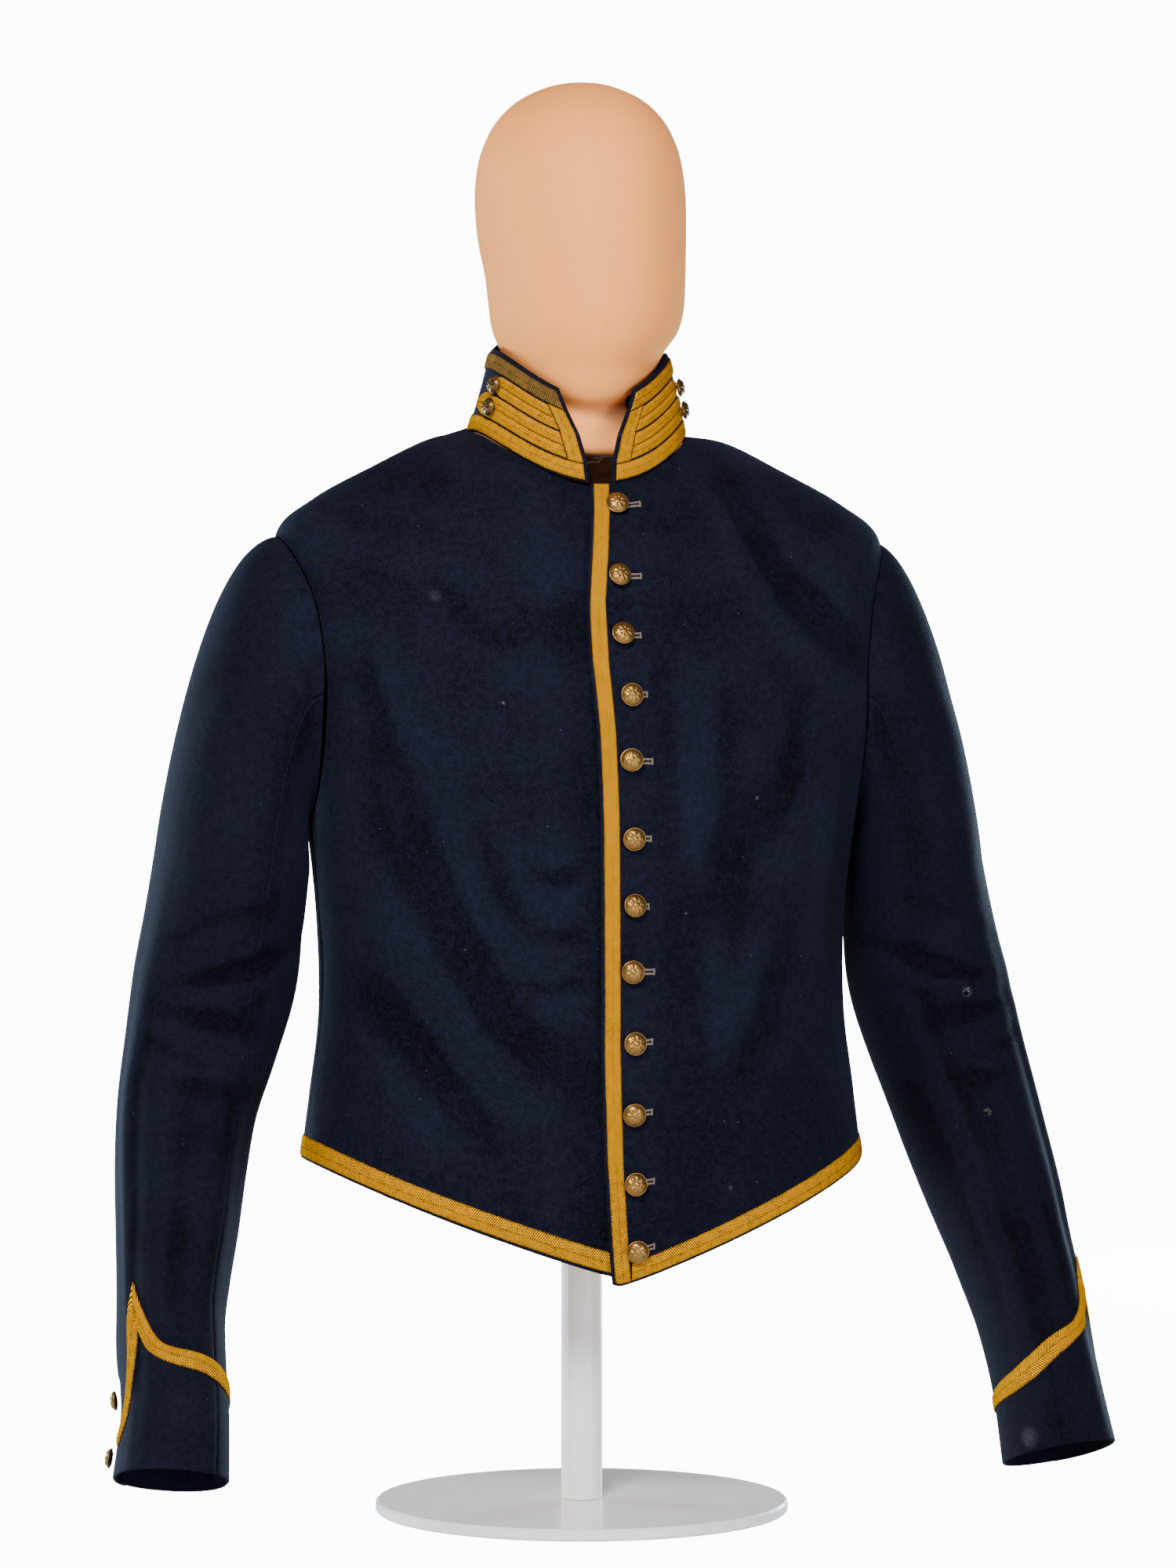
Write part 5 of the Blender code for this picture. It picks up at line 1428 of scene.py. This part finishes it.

# %% [markdown]
# ## Buttons
#
# The buttons are stamped domes of brass with a raised rim and a raised device. Here the device is a plain
# rosette of leaves round a bead. One is modelled: half of a sphere, flattened, given a turned rim,
# and its leaves lifted from the faces of the dome. It is then copied to every place, each copy with its own
# mesh. Those on the collar are coloured darker than the others.

# %% Aged brass finish
brass = Finish("aged brass", Metallic=1.0, Roughness=0.42)
brass_cloud = brass.noise(260.0, 3.0, 0.6)
brass_fine = brass.noise(1400.0, 3.0, 0.6)
height_mark = brass.node("ShaderNodeAttribute", {"attribute_name": "relief"}, out=2)
rubbed = (height_mark * 0.75 + brass_cloud * 0.45).ramp(0.36, 0.88)
# buttons higher than about 0.70 m, those on the collar, are coloured darker
darker_on_collar = brass.split(brass.place())[2].ramp(0.690, 0.705) * 0.62
gilt = (brass_fine * 0.3 + rubbed * 0.8).ramp(0.1, 0.95).mix((0.012, 0.006, 0.002), (0.285, 0.155, 0.042))
brass.colour(darker_on_collar.mix(gilt, (0.045, 0.024, 0.011)))
plug(brass.tree, brass.shader.inputs["Metallic"], rubbed.mix(0.45, 0.95))
brass.rough(rubbed.mix(0.66, 0.36))
brass.bump(brass_fine * 0.4 + brass_cloud * 0.6, 0.25, 0.0002)
print("brass nodes:", len(brass.tree.nodes))


# %% Model one button
def only_faces(mesh, test):
    """Select the faces whose middle passes a test, in edit mode."""
    for face in mesh.faces:
        face.select_set(bool(test(face.calc_center_median(), face.normal)))
    mesh.select_flush_mode()


bpy.ops.object.select_all(action="DESELECT")
bpy.ops.mesh.primitive_uv_sphere_add(segments=32, ring_count=18, radius=1.0, location=(0, 0, 0))
button_master = bpy.context.object
button_master.name = "button_master"
bpy.ops.object.mode_set(mode="EDIT")
bpy.ops.mesh.select_all(action="SELECT")
bpy.ops.mesh.bisect(plane_co=(0, 0, 0.02), plane_no=(0, 0, 1), clear_inner=True)
bpy.ops.mesh.select_all(action="SELECT")
bpy.ops.transform.resize(value=(0.93, 0.93, 0.44))
bpy.ops.transform.translate(value=(0, 0, 0.26))
bpy.ops.mesh.select_all(action="DESELECT")
bpy.ops.mesh.select_mode(type="EDGE")
edit = bmesh.from_edit_mesh(button_master.data)
for edge in edit.edges:
    edge.select_set(edge.is_boundary)
bpy.ops.mesh.extrude_region_move(TRANSFORM_OT_translate={"value": (0, 0, 0.035)})
bpy.ops.transform.resize(value=(1.045, 1.045, 1))
bpy.ops.mesh.extrude_region_move(TRANSFORM_OT_translate={"value": (0, 0, -0.045)})
bpy.ops.transform.resize(value=(1.03, 1.03, 1))
bpy.ops.mesh.extrude_region_move(TRANSFORM_OT_translate={"value": (0, 0, -0.08)})
bpy.ops.transform.resize(value=(0.97, 0.97, 1))
bpy.ops.mesh.extrude_region_move(TRANSFORM_OT_translate={"value": (0, 0, -0.14)})
bpy.ops.transform.resize(value=(0.42, 0.42, 1))
bpy.ops.mesh.extrude_region_move(TRANSFORM_OT_translate={"value": (0, 0, -0.06)})
bpy.ops.transform.resize(value=(0.7, 0.7, 1))
bpy.ops.mesh.edge_face_add()
bpy.ops.mesh.select_mode(type="FACE")
edit = bmesh.from_edit_mesh(button_master.data)


def leaf(middle, normal):
    """Eight leaves round the dome, two faces in every four."""
    away = math.hypot(middle.x, middle.y)
    turn = math.degrees(math.atan2(middle.y, middle.x)) % 45
    half = 16.0 * math.sin(math.pi * min(max((away - 0.22) / 0.56, 0), 1)) ** 0.6
    return middle.z > 0.3 and 0.24 < away < 0.76 and abs(turn - 22.5) < half


only_faces(edit, leaf)
bmesh.update_edit_mesh(button_master.data)
bpy.ops.mesh.extrude_region_shrink_fatten(TRANSFORM_OT_shrink_fatten={"value": 0.055})
edit = bmesh.from_edit_mesh(button_master.data)
only_faces(edit, lambda middle, normal: middle.z > 0.3 and math.hypot(middle.x, middle.y) < 0.17)
bmesh.update_edit_mesh(button_master.data)
bpy.ops.mesh.extrude_region_shrink_fatten(TRANSFORM_OT_shrink_fatten={"value": 0.06})
bpy.ops.mesh.select_all(action="SELECT")
bpy.ops.mesh.normals_make_consistent(inside=False)
bpy.ops.object.mode_set(mode="OBJECT")
smoothing = button_master.modifiers.new("smoothing", "SUBSURF")
smoothing.levels = 1
smoothing.render_levels = 1
bpy.ops.object.modifier_apply(modifier="smoothing")
bpy.ops.object.shade_smooth()
relief = button_master.data.attributes.new("relief", "FLOAT", "POINT")
for vertex in button_master.data.vertices:
    away = min(math.hypot(vertex.co.x, vertex.co.y) / 0.93, 0.999)
    dome = 0.26 + 0.44 * math.sqrt(1 - away * away)
    rim = 1.0 if away > 0.93 and vertex.co.z > 0.24 else 0.0
    relief.data[vertex.index].value = max(rim, min(max((vertex.co.z - dome) / 0.05, 0), 1))
print("button:", len(button_master.data.polygons), "faces")

# %% Copy it to every place
BUTTON_RADIUS = 7.75
SMALL_BUTTON_RADIUS = 6.6
# height, and how far round from centre front
FRONT_BUTTONS = ((677, 8), (629, 4), (590, 4.5), (551, 8.5), (508, 8), (457, 8.5), (413, 8.5), (370, 7.5),
                 (323, 8.5), (277, 8.5), (231, 9), (187, 11))
# how each one hangs: its tilt up or down and sideways, in degrees, and its turn
BUTTON_TILTS = ((4, -6, 10), (-5, 7, 40), (-8, 3, 75), (3, 5, 20), (-4, -7, 55), (5, 2, 5), (-6, 6, 33),
                (2, -5, 62), (-3, 4, 18), (6, -3, 47), (-4, 5, 70), (3, -4, 28))
# the height and angle of a cuff's buttons, then the angle of the collar's and how far off it they stand
CUFF_BUTTON_HEIGHTS = (64, 14)
CUFF_BUTTON_ANGLE = -50.0
COLLAR_BUTTON_ANGLE = 66.0
COLLAR_BUTTON_OUT = 0.9
front_button_seats = []


def sew_button(name, foot, normal, radius, tilt):
    """A copy of the button, standing on the cloth on its shank."""
    mesh = button_master.data.copy()
    mesh.name = name
    normal = Vector(normal)
    turned = normal.to_track_quat("Z", "Y").to_matrix()
    nod, lean, spin = (math.radians(angle) for angle in tilt)
    wobble = Vector((lean, -nod, 1)).to_track_quat("Z", "Y").to_matrix()
    cosine, sine = math.cos(spin), math.sin(spin)
    for vertex in mesh.vertices:
        x, y, z = vertex.co
        local = Vector((x * cosine - y * sine, x * sine + y * cosine, z)) * radius
        vertex.co = (turned @ (wobble @ local) + Vector(foot) + normal * 0.5) * MM
    return add_piece(name + "_stamped", mesh, brass.material, name)


for number, ((z, across), tilt) in enumerate(zip(FRONT_BUTTONS, BUTTON_TILTS), 1):
    low, high = 0.0, float(NECK)
    place = across / float(quarter_length(5.0))
    for _ in range(30):
        middle = (low + high) / 2
        if float(read_chart(FOLDED_CHART, np.array(place), np.array(middle))[2]) < z:
            low = middle
        else:
            high = middle
    place = across / float(quarter_length(low))
    at, level = np.array(place), np.array(low)
    normal = unit(read_chart(FOLDED_NORMALS, at, level))
    foot = body_place(at, level, front_lift(1, at, level))
    front_button_seats.append((across, low, foot, normal))
    sew_button(f"front_button_{number:02d}", foot, normal, BUTTON_RADIUS, tilt)

for side, name in ((1, "left"), (-1, "right")):
    for number, height in enumerate(CUFF_BUTTON_HEIGHTS, 1):
        place = np.array(place_above_cuff(height))
        angle = np.array(CUFF_BUTTON_ANGLE)
        foot = sleeve_cloth(side, angle, place, 0.1)
        normal = unit(sleeve_cloth(side, angle, place, 1.1) - foot)
        tilt = 3 * side, 4, 20 * number
        sew_button(f"cuff_button_{name}_{number}", foot, normal, SMALL_BUTTON_RADIUS, tilt)
    for level, span in (("lower", LOWER_SPAN), ("upper", UPPER_SPAN)):
        share = np.array((span[0] + span[1]) / 2)
        angle = np.array(COLLAR_BUTTON_ANGLE * side)
        foot = collar_place(angle, share, COLLAR_BUTTON_OUT)
        normal = unit(collar_place(angle, share, COLLAR_BUTTON_OUT + 1) - foot)
        sew_button(f"collar_button_{level}_{name}", foot, normal, SMALL_BUTTON_RADIUS, (4, 3 * side, 30))
bpy.data.objects.remove(button_master, do_unlink=True)
print("buttons on the front:", len(front_button_seats))

# %% [markdown]
# ## Buttonholes
#
# Each front button pulls a worked buttonhole to its left. The hole is a slit edged with close stitches of
# brown thread, and it ends in a small eye. Most of it shows beside the button, on the wearer's left. It is
# modelled as a ring of thread, stretched into a slit and pressed onto the cloth, with a near-black sheet in it
# as painted shade in the opening.

# %% Thread finish
thread = Finish("brown thread", Roughness=0.8, Sheen_Weight=0.2, Sheen_Roughness=0.5)
thread_along = thread.lay()[1]
turns = (thread_along / 0.62 * math.tau).math("SINE") * 0.5 + 0.5
hair = thread.noise(2200.0, 2.0, 0.6)
thread.colour((turns * 0.7 + hair * 0.3).mix((0.060, 0.040, 0.032), (0.30, 0.205, 0.160)))
thread.bump(turns + hair * 0.4, 0.8, 0.0003)
# painted shade: a near-black sheet stands for the shade in each buttonhole's opening
slit = Finish("slit", Base_Color=(0.002, 0.002, 0.003), Roughness=0.95)
slit_noise = slit.noise(900.0)
slit.colour(slit_noise.mix((0.0015, 0.0015, 0.0022), (0.004, 0.004, 0.006)))
print("thread nodes:", len(thread.tree.nodes))


# %% Work the buttonholes
def on_left_front(across, level, out):
    place = across / quarter_length(level)
    return body_place(place, level, front_lift(1, place, level) + out)


hole_random = np.random.default_rng(11)
SLIT_LENGTHS = (16.5, 15.5, 12.5, 13, 14.5, 14, 12, 15, 14, 12.5, 13.5, 12)
SLIT_SHIFTS = (0, 0, 0, -1.8, 0, -1.8, -1.6, 0, -1.4, 0, 0, 0)
SLIT_HALF_HEIGHT = 1.25
for number, ((across, level, foot, normal), reach, shift) in enumerate(
        zip(front_button_seats, SLIT_LENGTHS, SLIT_SHIFTS), 1):
    outer = np.linspace(0, math.tau, 73)[:-1]
    droop = hole_random.normal(0, 0.05)
    eye = np.clip((np.cos(outer) - 0.82) / 0.18, 0, 1)
    ring_x = across + shift + reach / 2 + np.cos(outer) * reach / 2
    ring_y = np.sign(np.sin(outer)) * np.minimum(np.abs(np.sin(outer)) * 5, 1) * (1.35 + 0.55 * eye)
    ring_x = ring_x + hole_random.normal(0, 0.05, len(outer))
    below, above = (read_chart(BODY_CHART, np.array(0.05), np.array(level + step)) for step in (-0.05, 0.05))
    rise = float(np.linalg.norm(above - below)) / 0.1
    rows, uvs = [], []
    run = np.concatenate(([0], np.cumsum(np.hypot(np.diff(ring_x), np.diff(ring_y)))))
    for turn in np.linspace(0, math.tau, 9)[:-1]:
        away = 0.62 * math.cos(turn)
        lift = 0.30 + 0.50 * math.sin(turn)
        scale_x = 1 + away / (reach / 2)
        middle = across + shift + reach / 2
        x = middle + (ring_x - middle) * scale_x
        y = ring_y + np.sign(ring_y) * away * np.minimum(np.abs(np.sin(outer)) * 5, 1)
        rows.append(on_left_front(x, level + (y + (x - across) * droop) / rise, lift))
        uvs.append(np.stack((np.full(len(run), turn), run), axis=-1))
    net = np.array(rows).transpose(1, 0, 2)
    uv = np.array(uvs).transpose(1, 0, 2)
    net = np.concatenate((net, net[:1]))
    uv = np.concatenate((uv, uv[:1]))
    mesh = net_mesh("buttonhole", net, uv, closed=True)
    add_piece(f"buttonhole_{number:02d}", mesh, thread.material)
    x = np.linspace(across + shift + 0.4, across + shift + reach - 0.4, 20)
    net = np.array([on_left_front(x, level + (y + (x - across) * droop) / rise, 0.16)
                    for y in (-SLIT_HALF_HEIGHT, 0, SLIT_HALF_HEIGHT)])
    # the near-black sheet of painted shade in the slit
    add_piece(f"slit_{number:02d}", net_mesh("slit", net, net_uv(net)), slit.material, wall=0.1)
print("buttonholes:", number)

# %% [markdown]
# ## Hook and eye
#
# A bent wire hook on the left end of the collar holds an eye on the right one. Both are round black wire, so
# each is a curve with a bevel. A curve is made a mesh at the end, so that its place lies in its points.

# %% Black wire
black = Finish("black wire", Roughness=0.38, Metallic=0.6)
black_noise = black.noise(900.0, 2.0, 0.5)
black.colour(black_noise.mix((0.006, 0.006, 0.007), (0.022, 0.020, 0.019)))
black.rough(black_noise.mix(0.28, 0.5))


def bend_wire(name, points, radius, node):
    bpy.ops.object.select_all(action="DESELECT")
    bpy.ops.curve.primitive_bezier_curve_add(location=(0, 0, 0))
    wire = bpy.context.object
    wire.name = name
    curve = wire.data
    curve.splines.remove(curve.splines[0])
    route = curve.splines.new("BEZIER")
    route.bezier_points.add(len(points) - 1)
    for spot, point in zip(route.bezier_points, points):
        spot.co = Vector(point) * MM
        spot.handle_left_type = spot.handle_right_type = "AUTO"
    curve.dimensions = "3D"
    curve.resolution_u = 8
    curve.bevel_depth = radius * MM
    curve.bevel_resolution = 3
    curve.use_fill_caps = True
    bpy.ops.object.convert(target="MESH")
    wire = bpy.context.object
    bpy.ops.object.shade_smooth()
    mesh = wire.data
    mesh.materials.clear()
    mesh.materials.append(black.material)
    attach(wire, "root")
    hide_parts(node)
    return wire


hook_share = 0.27
hook_spot = collar_surface(np.array(0.0), np.array(hook_share))
front = -float(hook_spot[1]) - 1.0
z = float(hook_spot[2])
reach = float(np.interp(hook_share, COLLAR_ENDS[:, 0], COLLAR_ENDS[:, 1])) - 0.6
bend_wire("hook_wire", (
    (reach + 1, -front, z + 2.3), (reach - 2, -front - 0.2, z + 2.2), (-1.6, -front, z + 1.5),
    (-3.7, -front - 0.9, z + 1.1), (-3.2, -front - 2.1, z + 0.9), (0.6, -front - 2.4, z + 0.9),
    (2.2, -front - 2.2, z + 0.4)), 0.55, "collar_hook")
bend_wire("eye_wire", (
    (-reach - 1, -front - 0.6, z + 4.0), (-4.2, -front - 1.2, z + 3.3), (-1.0, -front - 1.3, z + 3.1),
    (0.5, -front - 1.2, z + 1.2), (-0.8, -front - 1.3, z - 1.2), (-4.0, -front - 1.2, z - 1.6),
    (-reach - 1, -front - 0.6, z - 2.2)), 0.5, "collar_eye")
print("hook and eye at", round(z), "mm")

# %% [markdown]
# ## Stand
#
# The pole and the round base are lacquered steel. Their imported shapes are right, so they only get a finish:
# satin white with a faint orange-peel and a little grime.

# %% White lacquer
lacquer = Finish("white lacquer", Roughness=0.36, Coat_Weight=0.3, Coat_Roughness=0.15)
peel = lacquer.noise(340.0, 2.0, 0.5)
grime = lacquer.noise(22.0, 4.0, 0.6)
lacquer.colour(grime.ramp(0.45, 0.8).mix((0.86, 0.86, 0.85), (0.76, 0.755, 0.74)))
lacquer.rough(grime.mix(0.30, 0.46))
lacquer.bump(peel, 0.12, 0.0003)
for node in ("stand_base", "stand_pole"):
    bpy.data.objects[node].data.materials.clear()
    bpy.data.objects[node].data.materials.append(lacquer.material)
print("stand finished")

# %% [markdown]
# ## Cut sizes and the end
#
# Each panel is a sheet of cloth, so its cut size is stated: the rectangle it is cut from, and its own area.
# The lace, buttons and buttonholes sewn to a panel are listed with it and gathered, but nothing uses them.

def with_names(*words):
    return [piece for name, piece in PIECES.items() if any(word in name for word in words)]


SHEETS = {
    "front_left_cloth": ((0.25, 0.57), ["edge_lace_left", "hem_lace_left", "buttonhole", "slit",
                                       "front_button"]),
    "front_right_cloth": ((0.27, 0.56), ["hem_lace_right"]),
    "back_cloth": ((0.46, 0.56), ["hem_lace_back"]),
    "sleeve_top_left_cloth": ((0.21, 0.68), ["cuff_lace_left", "cuff_button_left"]),
    "sleeve_top_right_cloth": ((0.21, 0.68), ["cuff_lace_right", "cuff_button_right"]),
    "sleeve_under_left_cloth": ((0.19, 0.60), []),
    "sleeve_under_right_cloth": ((0.19, 0.60), []),
    "collar_cloth": ((0.45, 0.09), ["collar_foot_lace", "collar_top_lace", "collar_end_lace", "collar_loop",
                                   "collar_button"]),
}
for name, (flat, words) in SHEETS.items():
    mesh = PIECES[name].data
    area = sum(face.area for face in mesh.polygons)
    print(name, "area", round(area, 4), "of", round(flat[0] * flat[1], 4), "m2")
    with_names(*words) if words else []

# %% Finish
new_box = [list(corner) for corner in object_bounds()]
print("scene box:", [[round(value, 3) for value in corner] for corner in new_box])
